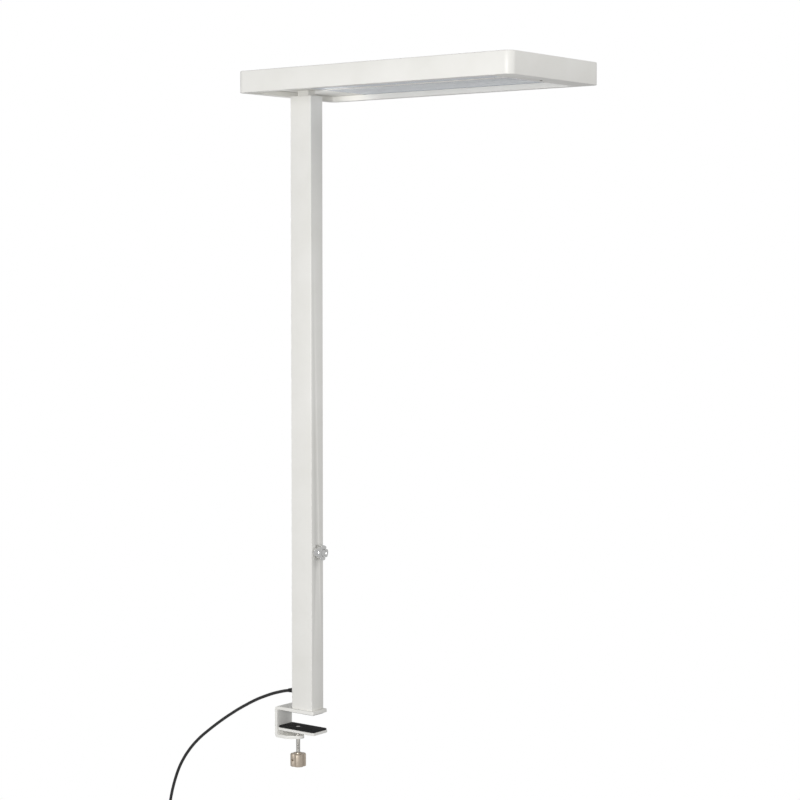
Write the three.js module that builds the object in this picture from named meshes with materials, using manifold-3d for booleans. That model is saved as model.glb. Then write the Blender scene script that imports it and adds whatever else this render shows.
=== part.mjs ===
// Clamp-on column luminaire: a flat lighting head on a rectangular column that a C clamp holds on a desk edge.
// Millimetres, +Z up. The origin is on the column's axis, where the upper arm's rubber meets the desk top.
// +X points over the desk, to the user's side, and +Y along the desk edge.
import * as THREE from "three";
import { mergeVertices } from "three/addons/utils/BufferGeometryUtils.js";
import Module from "manifold-3d";

const wasm = await Module();
wasm.setup();

// Clearances
const touchGap = 0.3; // between pieces that rest on each other
const runGap = 0.3; // round a piece that turns or slides in another, and round a screw in its hole

// Clamp bracket
const armPadThickness = 2;
const armPadSideInset = 5;
const armPadFrontInset = 4;
const steelThickness = 6;
const bracketWidth = 43;
const bracketHeight = 60;
const bracketBack = 64; // from the column's axis back to the bracket's outer back face
const armReach = 31; // from the column's axis forward to the upper arm's front edge
const bendRadius = 8;
const armCorner = 3;
const lowerArmStraight = 28; // length of the lower arm at full width, from its outer back face
const lowerArmNose = 11.5; // radius of the lower arm's round end

// Clamp screw and pressure plate
const spindleBack = 24; // from the column's axis back to the spindle's axis
const spindleDiameter = 8;
const tenonDiameter = 6;
const bushDiameter = 14;
const bushProud = 1.5; // how far the bush stands above the lower arm
const jawGap = 29; // from the desk-top plane down to the pressure pad, as drawn
const pressurePadThickness = 3;
const pressurePlateThickness = 5;
const plateLength = 89;
const plateWidth = 42.4;
const plateBackGap = 1.2; // from the bracket's back plate to the pressure plate
const washerDiameter = 16;
const washerThickness = 1.5;
const rivetDiameter = 9;
const rivetHeight = 2.4;
const handKnobDiameter = 30;
const handKnobValley = 11.5; // radius between its lobes
const handKnobLead = THREE.MathUtils.degToRad(18); // from the cross pin round to the nearest scoop
const handKnobHeight = 26;
const handKnobDrop = 80; // from the desk-top plane down to the hand knob's top
const handKnobCollar = 2;
const crossPinDiameter = 3;

// Column
const columnDepth = 50;
const columnWidth = 35;
const columnWall = 2;
const columnCorner = 1.5;
const columnHeight = 1162;
const footHeight = 20;
const baseBoltDiameter = 6;
const baseBoltHead = 11;
const baseBoltSpacing = 27;

// Lighting head
const headLength = 612;
const headWidth = 278;
const headHeight = 40;
const headWall = 2;
const headCorner = 15;
const headBack = 25; // how far the head reaches behind the column's back face
const rimLip = 15; // width of the border round the light opening, the housing's wall included
const frontBorder = 47; // width of the border at the front end
const rimDepth = 10;
const rimWall = 2;
const openingCorner = 6;
const opticThickness = 3;
const opticBearing = 8; // how far the optics run over the border
const ribWidth = 6;
const ribDrop = 1.2; // how far the centre rib stands below the optics
const guideThickness = 4;
const guideMargin = 16; // from the side walls to the light guides
const stripThickness = 1.6;
const reflectorThickness = 0.5;
const carrierThickness = 2;
const coverThickness = 3;
const coverBearing = 8;
const coverFront = 32; // border round the uplight opening at the front and sides
const coverBack = 85; // from the column's axis forward to the uplight opening
const boardThickness = 1.6;
const uplightBoardWidth = 20;
const uplightBoardOffset = 75; // from the middle line to each uplight board
const driverLength = 150;
const driverWidth = 44;
const driverAirGap = 1.7; // between the driver and the uplight cover above it
const terminalLength = 26;
const terminalWidth = 18;
const sensorDiameter = 6.4;
const sensorFront = 32; // from the head's front face back to the sensor

// Neck between column and head
const neckDepth = 26;
const neckWidth = 20;
const neckBore = 10;
const neckPlug = 60; // how deep it sits in the column
const neckScrewDiameter = 4;
const neckScrewLength = 14;
const neckScrewX = 9.5;
const neckScrewY = 6.5;

// Dimmer dial
const dialHeight = 301.5; // from the column's foot up to the dial's axis
const dialDiameter = 29;
const dialValley = 10.3;
const dialThickness = 14;
const dialStandOff = 1.6;
const dialTravel = 1;
const dialShaftDiameter = 6;
const dialScrewDiameter = 3;
const encoderDepth = 12;
const encoderSize = 16;
const encoderWall = 2;
const bushingDiameter = 9;
const bushingLength = 3.6;
const nutSize = 13;
const nutThickness = 2;

// Mains lead
const leadDiameter = 6;
const innerLeadDiameter = 5;
const glandHeight = 32; // from the column's foot up to the lead's outlet
const glandBarrel = 11;
const glandFlange = 14;
const glandFlangeThickness = 2;
const glandLength = 22;
const glandTip = 7.6;
const glandTilt = THREE.MathUtils.degToRad(8);
const coilRadius = 33; // middle of the turns
const coilTurnsAcross = 3;
const coilTurnsDeep = 2;
const coilSlack = 0.3;
const tieWidth = 12;
const tieThickness = 1.5;
const tailLength = 18;
const plugBootLength = 22;
const plugDiameter = 36;
const plugLength = 36;
const plugPinDiameter = 4.8;
const plugPinLength = 19;
const plugPinSpacing = 19;

// Route of the free lead behind the desk, from the gland to the coil
const leadPoints = [
  [-47.4, 0, 36.6],
  [-58, 0, 34.4],
  [-72, 0, 30.5],
  [-88, 0, 25.5],
  [-105, 0, 19],
  [-122, 0, 12],
  [-140, 0, 3.5],
  [-158, 0, -6],
  [-177, 0, -16.5],
  [-196, 0, -28],
  [-215, 0, -40],
  [-235, 0, -53.5],
  [-256, 0, -68.5],
  [-279, 0, -86],
  [-301, 0, -106],
  [-321, 0, -129],
  [-338, 0, -155],
  [-351, 0, -184],
  [-361, 0, -215],
  [-367, 0, -246],
];
const coilEntry = -369; // X of the lead where it reaches the coil
const coilCentreZ = -301;

// Heights and places that follow from the sizes above
const armTop = armPadThickness + steelThickness;
const lowerArmTop = armTop - bracketHeight + steelThickness;
const lowerArmBottom = armTop - bracketHeight;
const backPlateInner = -bracketBack + steelThickness;
const columnFoot = armTop + touchGap;
const headBottom = armTop + columnHeight;
const headTop = headBottom + headHeight;
const headRear = -columnDepth / 2 - headBack;
const headFront = headRear + headLength;
const opticBottom = headBottom + rimDepth + touchGap;
const opticTop = opticBottom + opticThickness;
const guideBottom = opticTop + touchGap;
const guideTop = guideBottom + guideThickness;
const reflectorBottom = guideTop + touchGap;
const carrierBottom = reflectorBottom + reflectorThickness + touchGap;
const carrierTop = carrierBottom + carrierThickness;
const coverTop = headTop - headWall - touchGap;
const dialZ = armTop + dialHeight;
const glandZ = armTop + glandHeight;

// Finishes
const whitePowder = () => new THREE.MeshStandardMaterial({ color: 0xf1f0ec, roughness: 0.45, metalness: 0 });
const brightSteel = () => new THREE.MeshStandardMaterial({ color: 0xc4c6c8, roughness: 0.25, metalness: 1 });
const nickelZinc = () => new THREE.MeshStandardMaterial({ color: 0xa1947f, roughness: 0.35, metalness: 0.9 });
const chromePlate = () => new THREE.MeshStandardMaterial({ color: 0xdadcde, roughness: 0.08, metalness: 1 });
const blackRubber = () => new THREE.MeshStandardMaterial({ color: 0x161617, roughness: 0.8, metalness: 0 });
const blackPlastic = () => new THREE.MeshStandardMaterial({ color: 0x1c1c1e, roughness: 0.5, metalness: 0 });
const clearOptic = () => new THREE.MeshStandardMaterial({ color: 0xdfe5ea, roughness: 0.15, metalness: 0 });
const opalPlastic = () => new THREE.MeshStandardMaterial({ color: 0xf4f5f2, roughness: 0.35, metalness: 0 });
const aluminium = () => new THREE.MeshStandardMaterial({ color: 0xb9bcbf, roughness: 0.4, metalness: 1 });
const whitePlastic = () => new THREE.MeshStandardMaterial({ color: 0xeceae4, roughness: 0.5, metalness: 0 });
const brassPlate = () => new THREE.MeshStandardMaterial({ color: 0xc9a75a, roughness: 0.3, metalness: 1 });

// Shape helpers
function roundedRect(x0, y0, x1, y1, radius) {
  const r = Math.min(radius, (x1 - x0) / 2, (y1 - y0) / 2);
  const shape = new THREE.Shape();
  shape.absarc(x1 - r, y0 + r, r, -Math.PI / 2, 0);
  shape.absarc(x1 - r, y1 - r, r, 0, Math.PI / 2);
  shape.absarc(x0 + r, y1 - r, r, Math.PI / 2, Math.PI);
  shape.absarc(x0 + r, y0 + r, r, Math.PI, Math.PI * 1.5);
  shape.closePath();
  return shape;
}

function slab(shape, bottom, top, curveSegments = 6) {
  const geometry = new THREE.ExtrudeGeometry(shape, { depth: top - bottom, bevelEnabled: false, curveSegments });
  return geometry.translate(0, 0, bottom);
}

function roundedSlab(x0, y0, x1, y1, radius, bottom, top, curveSegments = 6) {
  return slab(roundedRect(x0, y0, x1, y1, radius), bottom, top, curveSegments);
}

function block(x0, x1, y0, y1, bottom, top) {
  const geometry = new THREE.BoxGeometry(x1 - x0, y1 - y0, top - bottom);
  return geometry.translate((x0 + x1) / 2, (y0 + y1) / 2, (bottom + top) / 2);
}

// A cylinder or cone along +Z from bottom to top, centred on x, y.
function rod(radius, bottom, top, x = 0, y = 0, topRadius = radius, segments = 24) {
  const geometry = new THREE.CylinderGeometry(topRadius, radius, top - bottom, segments);
  return geometry.rotateX(Math.PI / 2).translate(x, y, (bottom + top) / 2);
}

// A body of revolution about Z from [radius, height] pairs that start and end on the axis.
function turned(profile, segments = 24) {
  const points = profile.map(([radius, height]) => new THREE.Vector2(radius, height));
  return new THREE.LatheGeometry(points, segments).rotateX(Math.PI / 2);
}

// Turns a shape made along +Z so that it runs along +X.
function alongX(geometry) {
  return geometry.rotateY(Math.PI / 2);
}

function lobedShape(lobes, outerRadius, valleyRadius, turn = 0) {
  const middle = (outerRadius + valleyRadius) / 2;
  const swing = (outerRadius - valleyRadius) / 2;
  const points = [];
  const steps = lobes * 14;
  for (let i = 0; i < steps; i += 1) {
    const angle = (i / steps) * Math.PI * 2;
    const radius = middle + swing * Math.cos(lobes * (angle - turn));
    points.push(new THREE.Vector2(radius * Math.cos(angle), radius * Math.sin(angle)));
  }
  return new THREE.Shape(points);
}

// A round tube along a list of points.
function tube(points, diameter, sides, stepLength) {
  const curve = new THREE.CatmullRomCurve3(points.map((p) => new THREE.Vector3(...p)));
  const section = [];
  for (let i = 0; i < sides; i += 1) {
    const angle = (i / sides) * Math.PI * 2;
    section.push(new THREE.Vector2((Math.cos(angle) * diameter) / 2, (Math.sin(angle) * diameter) / 2));
  }
  const steps = Math.ceil(curve.getLength() / stepLength);
  return new THREE.ExtrudeGeometry(new THREE.Shape(section), { steps, extrudePath: curve, bevelEnabled: false });
}

// Booleans
function toSolid(geometry) {
  const bare = geometry.index ? geometry.toNonIndexed() : geometry.clone();
  bare.deleteAttribute("normal");
  bare.deleteAttribute("uv");
  const merged = mergeVertices(bare, 1e-4);
  return new wasm.Manifold(
    new wasm.Mesh({
      numProp: 3,
      vertProperties: new Float32Array(merged.attributes.position.array),
      triVerts: new Uint32Array(merged.index.array),
    }),
  );
}

function toGeometry(solid) {
  const mesh = solid.getMesh();
  const geometry = new THREE.BufferGeometry();
  geometry.setAttribute("position", new THREE.BufferAttribute(new Float32Array(mesh.vertProperties), 3));
  geometry.setIndex(new THREE.BufferAttribute(new Uint32Array(mesh.triVerts), 1));
  geometry.computeVertexNormals();
  return geometry;
}

function cut(geometry, ...tools) {
  return toGeometry(tools.reduce((solid, tool) => solid.subtract(toSolid(tool)), toSolid(geometry)));
}

function join(...geometries) {
  return toGeometry(geometries.map(toSolid).reduce((solid, next) => solid.add(next)));
}

const lamp = new THREE.Group();

function add(name, geometry, material) {
  const mesh = new THREE.Mesh(geometry, material);
  mesh.name = name;
  lamp.add(mesh);
}

// ---- Clamp ----

// Side view of the C: upper arm, back plate and lower arm bent from one flat bar.
function bracketOutline() {
  const inner = bendRadius - steelThickness;
  const back = -bracketBack;
  const shape = new THREE.Shape();
  shape.moveTo(armReach, armTop);
  shape.lineTo(back + bendRadius, armTop);
  shape.absarc(back + bendRadius, armTop - bendRadius, bendRadius, Math.PI / 2, Math.PI);
  shape.lineTo(back, lowerArmBottom + bendRadius);
  shape.absarc(back + bendRadius, lowerArmBottom + bendRadius, bendRadius, Math.PI, Math.PI * 1.5);
  shape.lineTo(armReach, lowerArmBottom);
  shape.lineTo(armReach, lowerArmTop);
  shape.lineTo(back + bendRadius, lowerArmTop);
  shape.absarc(back + bendRadius, lowerArmBottom + bendRadius, inner, Math.PI * 1.5, Math.PI, true);
  shape.lineTo(backPlateInner, armTop - bendRadius);
  shape.absarc(back + bendRadius, armTop - bendRadius, inner, Math.PI, Math.PI / 2, true);
  shape.lineTo(armReach, armPadThickness);
  shape.closePath();
  return shape;
}

// Plan of the lower arm: straight at the back, then tapered to a round end about the spindle.
function lowerArmPlan() {
  const half = bracketWidth / 2;
  const taperStart = -bracketBack + lowerArmStraight;
  const run = -spindleBack - taperStart;
  const reach = Math.hypot(run, half);
  const tangent = Math.atan2(half, -run) - Math.acos(lowerArmNose / reach);
  const shape = new THREE.Shape();
  shape.moveTo(-bracketBack - 1, -half);
  shape.lineTo(taperStart, -half);
  shape.absarc(-spindleBack, 0, lowerArmNose, -tangent, tangent);
  shape.lineTo(taperStart, half);
  shape.lineTo(-bracketBack - 1, half);
  shape.closePath();
  return shape;
}

function clampBracket() {
  const bar = new THREE.ExtrudeGeometry(bracketOutline(), {
    depth: bracketWidth,
    bevelEnabled: false,
    curveSegments: 6,
  });
  bar.rotateX(Math.PI / 2).translate(0, bracketWidth / 2, 0);
  const plan = slab(lowerArmPlan(), lowerArmBottom - 1, lowerArmTop + steelThickness);
  const half = bracketWidth / 2;
  const upper = roundedSlab(-bracketBack * 2, -half, armReach, half, armCorner, lowerArmTop + steelThickness, armTop + 1);
  const outline = join(plan, upper);
  let solid = toSolid(bar).intersect(toSolid(outline));
  solid = solid.subtract(toSolid(bushHole()));
  for (const x of boltPlaces) {
    solid = solid.subtract(toSolid(rod(baseBoltDiameter / 2 + runGap, armPadThickness - 1, armTop + 1, x)));
    solid = solid.subtract(toSolid(countersink(x)));
  }
  return toGeometry(solid);
}

function bushHole() {
  return rod(bushDiameter / 2 + touchGap, lowerArmBottom - 1, lowerArmTop + 1, -spindleBack);
}

const boltPlaces = [-baseBoltSpacing / 2, baseBoltSpacing / 2];
const boltHeadHeight = (baseBoltHead - baseBoltDiameter) / 2;
const boltSeat = armPadThickness + touchGap;

// The 45 degree recess of a countersunk head in the upper arm's underside.
function countersink(x) {
  const bottom = armPadThickness - 1;
  const wide = baseBoltHead / 2 + touchGap * Math.SQRT2 + boltSeat - bottom;
  const narrow = baseBoltDiameter / 2;
  return rod(wide, bottom, bottom + wide - narrow, x, 0, narrow);
}

function armPad() {
  const half = bracketWidth / 2 - armPadSideInset;
  const back = -bracketBack + bendRadius + touchGap;
  return roundedSlab(back, -half, armReach - armPadFrontInset, half, armCorner, 0, armPadThickness - touchGap);
}

function baseBolt(x) {
  const shank = rod(baseBoltDiameter / 2, boltSeat, columnFoot + footHeight - 2, x);
  const head = rod(baseBoltHead / 2, boltSeat, boltSeat + boltHeadHeight, x, 0, baseBoltDiameter / 2);
  const socket = rod(1.9, boltSeat - 1, boltSeat + 1.6, x, 0, 1.9, 6);
  return cut(join(shank, head), socket);
}

add("clamp_bracket", clampBracket(), whitePowder());
add("arm_pad", armPad(), blackRubber());
boltPlaces.forEach((x, i) => add(`base_bolt_${i + 1}`, baseBolt(x), brightSteel()));

const spindleRadius = spindleDiameter / 2;
const padTop = -jawGap;
const padBottom = padTop - pressurePadThickness;
const plateTop = padBottom - touchGap;
const plateBottom = plateTop - pressurePlateThickness;
const washerTop = plateBottom - touchGap;
const washerBottom = washerTop - washerThickness;
const plateBack = backPlateInner + plateBackGap;
const plateFront = plateBack + plateLength;
const rivetWell = rivetDiameter / 2 + 1;

function spindleBush() {
  const body = rod(bushDiameter / 2, lowerArmBottom + touchGap, lowerArmTop + bushProud, -spindleBack);
  const bore = rod(spindleRadius + runGap, lowerArmBottom - 1, lowerArmTop + bushProud + 1, -spindleBack);
  return cut(body, bore);
}

function pressurePlate() {
  const half = plateWidth / 2;
  const body = roundedSlab(plateBack, -half, plateFront, half, armCorner, plateBottom, plateTop);
  return cut(body, rod(tenonDiameter / 2 + runGap, plateBottom - 1, plateTop + 1, -spindleBack));
}

function pressurePad() {
  const half = plateWidth / 2;
  const body = roundedSlab(plateBack, -half, plateFront, half, armCorner, padBottom, padTop);
  return cut(body, rod(rivetWell, padBottom - 1, padTop + 1, -spindleBack));
}

// Threaded rod with a tenon through the plate and a riveted head above it.
function spindle() {
  const tenon = tenonDiameter / 2;
  const rivet = rivetDiameter / 2;
  const rivetSeat = plateTop + touchGap;
  const foot = -handKnobDrop - handKnobHeight + touchGap + 3;
  const profile = [
    [0, foot],
    [spindleRadius, foot],
    [spindleRadius, washerBottom - touchGap],
    [tenon, washerBottom - touchGap],
    [tenon, rivetSeat],
    [rivet, rivetSeat],
    [rivet, rivetSeat + rivetHeight * 0.6],
    [rivet * 0.6, rivetSeat + rivetHeight],
    [0, rivetSeat + rivetHeight],
  ];
  const pinHole = rod(crossPinDiameter / 2 + touchGap, -spindleDiameter, spindleDiameter, 0, 0, undefined, 16);
  alongX(pinHole).translate(0, 0, -handKnobDrop - handKnobHeight / 2);
  return cut(turned(profile), pinHole).translate(-spindleBack, 0, 0);
}

function thrustWasher() {
  const bore = tenonDiameter / 2 + runGap;
  const ring = rod(washerDiameter / 2, washerBottom, washerTop, -spindleBack);
  return cut(ring, rod(bore, washerBottom - 1, washerTop + 1, -spindleBack));
}

function handKnob() {
  const top = -handKnobDrop;
  const bottom = top - handKnobHeight;
  const outer = handKnobDiameter / 2;
  const star = slab(lobedShape(4, outer, handKnobValley, Math.PI / 4 + handKnobLead), bottom, top - handKnobCollar);
  const crown = turned([
    [0, bottom],
    [outer - 2, bottom],
    [outer, bottom + 2.5],
    [outer, top - handKnobCollar - 2.5],
    [outer - 2, top - handKnobCollar],
    [0, top - handKnobCollar],
  ]);
  const collar = rod(spindleRadius + 3.5, top - handKnobCollar - 1, top);
  const body = toSolid(star).intersect(toSolid(crown)).add(toSolid(collar));
  const bore = rod(spindleRadius + touchGap, bottom + 3, top + 1);
  const pinHole = rod(crossPinDiameter / 2 + touchGap, -handKnobDiameter, handKnobDiameter, 0, 0, undefined, 16);
  alongX(pinHole).translate(0, 0, top - handKnobHeight / 2);
  return toGeometry(body.subtract(toSolid(bore)).subtract(toSolid(pinHole))).translate(-spindleBack, 0, 0);
}

function crossPin() {
  const length = handKnobValley - 1.5;
  const pin = rod(crossPinDiameter / 2, -length, length, 0, 0, undefined, 16);
  return alongX(pin).translate(-spindleBack, 0, -handKnobDrop - handKnobHeight / 2);
}

// The knob is turned so that the cross pin comes out at the left of its front lobe.
function turnAboutSpindle(geometry, angle) {
  return geometry.translate(spindleBack, 0, 0).rotateZ(angle).translate(-spindleBack, 0, 0);
}

const knobTurn = THREE.MathUtils.degToRad(77);
add("spindle_bush", spindleBush(), brightSteel());
add("pressure_plate", pressurePlate(), whitePowder());
add("pressure_pad", pressurePad(), blackRubber());
add("spindle", turnAboutSpindle(spindle(), knobTurn), brightSteel());
add("thrust_washer", thrustWasher(), brightSteel());
add("hand_knob", turnAboutSpindle(handKnob(), knobTurn), nickelZinc());
add("cross_pin", turnAboutSpindle(crossPin(), knobTurn), brightSteel());

// ---- Column ----

function centredSlab(depth, width, radius, bottom, top) {
  return roundedSlab(-depth / 2, -width / 2, depth / 2, width / 2, radius, bottom, top, 3);
}

const tubeInnerDepth = columnDepth - 2 * columnWall;
const tubeInnerWidth = columnWidth - 2 * columnWall;

function columnTube() {
  const outer = centredSlab(columnDepth, columnWidth, columnCorner, columnFoot, headBottom);
  const inner = centredSlab(tubeInnerDepth, tubeInnerWidth, 0.5, columnFoot - 1, headBottom + 1);
  const dialHole = alongX(rod(bushingDiameter / 2 + touchGap, columnDepth / 2 - columnWall - 1, columnDepth / 2 + 1));
  const leadHole = alongX(rod(glandBarrel / 2 + touchGap, -columnDepth / 2 - 1, -columnDepth / 2 + columnWall + 1));
  return cut(outer, inner, dialHole.translate(0, 0, dialZ), leadHole.translate(0, 0, glandZ));
}

function columnFootBlock() {
  const block = centredSlab(
    tubeInnerDepth - 2 * touchGap,
    tubeInnerWidth - 2 * touchGap,
    0.5,
    columnFoot,
    columnFoot + footHeight,
  );
  const holes = boltPlaces.map((x) => rod(baseBoltDiameter / 2 + runGap, columnFoot - 1, columnFoot + footHeight + 1, x));
  return cut(block, ...holes);
}

add("column_tube", columnTube(), whitePowder());
add("column_foot", columnFootBlock(), aluminium());

// ---- Dimmer dial, made along +Z and laid along +X ----

const dialBack = columnDepth / 2 + dialStandOff;
const dialFront = dialBack + dialThickness;
const encoderFront = columnDepth / 2 - columnWall - touchGap;
const encoderBack = encoderFront - encoderDepth;
const bushingEnd = encoderFront + bushingLength + columnWall;
const shaftRadius = dialShaftDiameter / 2;
const rotorRadius = encoderSize / 2 - encoderWall - runGap;
const rotorFront = encoderFront - encoderWall - runGap;
const rotorBack = encoderBack + encoderWall + runGap;
const shaftEnd = dialFront - 5;

function atDial(geometry) {
  return alongX(geometry).translate(0, 0, dialZ);
}

function encoderBody() {
  const half = encoderSize / 2;
  const shell = block(-half, half, -half, half, encoderBack, encoderFront);
  const bushing = rod(bushingDiameter / 2, encoderFront - 1, bushingEnd);
  const cavity = rod(rotorRadius + runGap, rotorBack - runGap, rotorFront + runGap);
  const bore = rod(shaftRadius + runGap, rotorFront, bushingEnd + 1);
  return atDial(cut(join(shell, bushing), cavity, bore));
}

function encoderRotor() {
  const ring = rod(rotorRadius, rotorBack, rotorFront);
  return atDial(cut(ring, rod(shaftRadius + runGap, rotorBack + 1, rotorFront + 1)));
}

function encoderNut() {
  const start = columnDepth / 2 + touchGap;
  const nut = rod(nutSize / 2, start, start + nutThickness, 0, 0, nutSize / 2, 6);
  return atDial(cut(nut, rod(bushingDiameter / 2 + touchGap, start - 1, start + nutThickness + 1)));
}

function dialShaft() {
  return atDial(rod(shaftRadius, rotorBack + 1 + touchGap + dialTravel, shaftEnd));
}

const dialTurn = THREE.MathUtils.degToRad(-9);
const capRadius = dialValley * 0.62;
const dialScrewAt = dialBack + 8.5;

function dialKnob() {
  const outer = dialDiameter / 2;
  const star = slab(lobedShape(4, outer, dialValley, dialTurn), dialBack, dialFront);
  const dome = turned([
    [0, dialBack],
    [outer - 1.2, dialBack],
    [outer, dialBack + 1.5],
    [outer, dialFront - 4],
    [outer - 1.2, dialFront - 1.4],
    [outer - 4, dialFront],
    [0, dialFront],
  ]);
  const nutWell = rod(nutSize / 2 + 1, dialBack - 1, columnDepth / 2 + nutThickness + touchGap + dialTravel + 1.2);
  const bore = rod(shaftRadius + touchGap, dialBack, shaftEnd + touchGap);
  const capWell = rod(capRadius + touchGap, dialFront - 2, dialFront + 1);
  const screwHole = rod(dialScrewDiameter / 2 + touchGap, 0, outer + 1, 0, 0, undefined, 16);
  screwHole.rotateX(Math.PI / 2).translate(0, 0, dialScrewAt);
  const body = toSolid(star).intersect(toSolid(dome));
  const tools = [nutWell, bore, capWell, screwHole].map(toSolid);
  return atDial(toGeometry(tools.reduce((solid, tool) => solid.subtract(tool), body)));
}

function dialCap() {
  return atDial(rod(capRadius, dialFront - 2 + touchGap, dialFront - 0.2, 0, 0, capRadius - 0.4));
}

function dialScrew() {
  const screw = rod(dialScrewDiameter / 2, shaftRadius + touchGap, dialValley - 1.5, 0, 0, undefined, 16);
  return atDial(screw.rotateX(Math.PI / 2).translate(0, 0, dialScrewAt));
}

add("encoder_body", encoderBody(), aluminium());
add("encoder_rotor", encoderRotor(), blackPlastic());
add("encoder_nut", encoderNut(), brightSteel());
add("dial_shaft", dialShaft(), aluminium());
add("dial_knob", dialKnob(), chromePlate());
add("dial_cap", dialCap(), chromePlate());
add("dial_screw", dialScrew(), brightSteel());

// ---- Lighting head ----

const sideWall = headWidth / 2;
const innerWall = headWall + touchGap;
const openingRear = headRear + rimLip;
const openingFront = headFront - frontBorder;
const openingSide = sideWall - rimLip;
const blankFront = columnDepth / 2 + 13;
const opticFront = openingFront + opticBearing;
const opticRear = blankFront + touchGap;

function headHousing() {
  const outer = roundedSlab(headRear, -sideWall, headFront, sideWall, headCorner, headBottom, headTop, 8);
  const room = roundedSlab(
    headRear + headWall,
    -sideWall + headWall,
    headFront - headWall,
    sideWall - headWall,
    headCorner - headWall,
    headBottom - 1,
    headTop - headWall,
    8,
  );
  const window = roundedSlab(
    coverBack,
    -sideWall + coverFront,
    headFront - coverFront,
    sideWall - coverFront,
    openingCorner,
    headTop - headWall - 1,
    headTop + 1,
  );
  return cut(outer, room, window);
}

// Angle-section border: a flat flange with an upright round the light opening.
function headRim() {
  const outerCorner = headCorner - innerWall;
  const flange = roundedSlab(
    headRear + innerWall,
    -sideWall + innerWall,
    headFront - innerWall,
    sideWall - innerWall,
    outerCorner,
    headBottom,
    headBottom + rimWall,
    8,
  );
  const upright = roundedSlab(
    openingRear - rimWall,
    -openingSide - rimWall,
    openingFront + rimWall,
    openingSide + rimWall,
    openingCorner + rimWall,
    headBottom,
    headBottom + rimDepth,
  );
  const opening = roundedSlab(
    openingRear,
    -openingSide,
    openingFront,
    openingSide,
    openingCorner,
    headBottom - 1,
    headBottom + rimDepth + 1,
  );
  const sensorHole = rod(sensorDiameter / 2 + touchGap, headBottom - 1, headBottom + rimWall + 1, sensorX);
  return cut(join(flange, upright), opening, sensorHole);
}

const sensorX = headFront - sensorFront;

function rearBlank() {
  const side = sideWall - innerWall;
  const plate = roundedSlab(
    headRear + innerWall,
    -side,
    blankFront,
    side,
    headCorner - innerWall,
    opticBottom,
    opticTop,
  );
  const squareEnd = block(blankFront - headCorner, blankFront, -side, side, opticBottom, opticTop);
  const neckHole = block(
    -neckDepth / 2 - touchGap,
    neckDepth / 2 + touchGap,
    -neckWidth / 2 - touchGap,
    neckWidth / 2 + touchGap,
    opticBottom - 1,
    opticTop + 1,
  );
  return cut(join(plate, squareEnd), neckHole);
}

// Pieces that come in pairs, one on each side of the middle line.
function pair(name, from, to, x0, x1, bottom, top, material) {
  add(`${name}_right`, block(x0, x1, -to, -from, bottom, top), material());
  add(`${name}_left`, block(x0, x1, from, to, bottom, top), material());
}

const guideSide = sideWall - guideMargin;
const stripStart = guideSide + touchGap;

function carrierPlate() {
  const plate = roundedSlab(
    headRear + innerWall,
    -sideWall + innerWall,
    headFront - innerWall,
    sideWall - innerWall,
    headCorner - innerWall,
    carrierBottom,
    carrierTop,
  );
  const leadHole = rod(neckBore / 2, carrierBottom - 1, carrierTop + 1);
  const screwHoles = neckScrewPlaces.map(([x, y]) => rod(neckScrewRadius + runGap, carrierBottom - 1, carrierTop + 1, x, y));
  return cut(plate, leadHole, ...screwHoles);
}

const neckScrewRadius = neckScrewDiameter / 2;
const neckScrewPlaces = [
  [-neckScrewX, -neckScrewY],
  [neckScrewX, -neckScrewY],
  [neckScrewX, neckScrewY],
  [-neckScrewX, neckScrewY],
];

// A plug in the column's top and a narrower neck up to the carrier, bored for the lead.
function headNeck() {
  const plugTop = headBottom - 1;
  const plug = centredSlab(
    tubeInnerDepth - 2 * touchGap,
    tubeInnerWidth - 2 * touchGap,
    0.5,
    headBottom - neckPlug,
    plugTop,
  );
  const neckTop = carrierBottom - touchGap;
  const neck = centredSlab(neckDepth, neckWidth, 1, plugTop - 1, neckTop);
  const bore = rod(neckBore / 2, headBottom - neckPlug - 1, neckTop + 1);
  const screwHoles = neckScrewPlaces.map(([x, y]) =>
    rod(neckScrewRadius + runGap, neckTop - neckScrewLength, neckTop + 1, x, y, undefined, 12),
  );
  return cut(join(plug, neck), bore, ...screwHoles);
}

function neckScrew(x, y) {
  const seat = carrierTop + touchGap;
  const shank = rod(neckScrewRadius, seat - neckScrewLength, seat + 1, x, y, undefined, 12);
  const head = rod(neckScrewDiameter * 0.85, seat, seat + 2.4, x, y, undefined, 16);
  const socket = rod(1.25, seat + 1.2, seat + 3, x, y, undefined, 6);
  return cut(join(shank, head), socket);
}

function uplightCover() {
  return roundedSlab(
    coverBack - coverBearing,
    -sideWall + coverFront - coverBearing,
    headFront - coverFront + coverBearing,
    sideWall - coverFront + coverBearing,
    openingCorner,
    coverTop - coverThickness,
    coverTop,
  );
}

function sensorLens() {
  const radius = sensorDiameter / 2;
  const profile = [
    [0, -0.6],
    [radius * 0.55, -0.4],
    [radius, 0.4],
    [radius, rimWall + touchGap],
    [radius + 1.2, rimWall + touchGap],
    [radius + 1.2, rimWall + touchGap + 1.5],
    [0, rimWall + touchGap + 1.5],
  ];
  return turned(profile).translate(sensorX, 0, headBottom);
}

function sensorBoard() {
  const bottom = headBottom + rimWall + touchGap + 1.5 + touchGap;
  return block(sensorX - 10, sensorX + 10, -8, 8, bottom, bottom + boardThickness);
}

const electronicsFloor = carrierTop + touchGap;

function uplightBoards() {
  const inner = uplightBoardOffset - uplightBoardWidth / 2;
  const outer = uplightBoardOffset + uplightBoardWidth / 2;
  const rear = coverBack + 10;
  const front = headFront - coverFront - 10;
  pair("uplight_board", inner, outer, rear, front, electronicsFloor, electronicsFloor + boardThickness, whitePlastic);
}

const terminalRear = neckDepth / 2 + 16;
const driverRear = terminalRear + terminalLength + 20;

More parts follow.
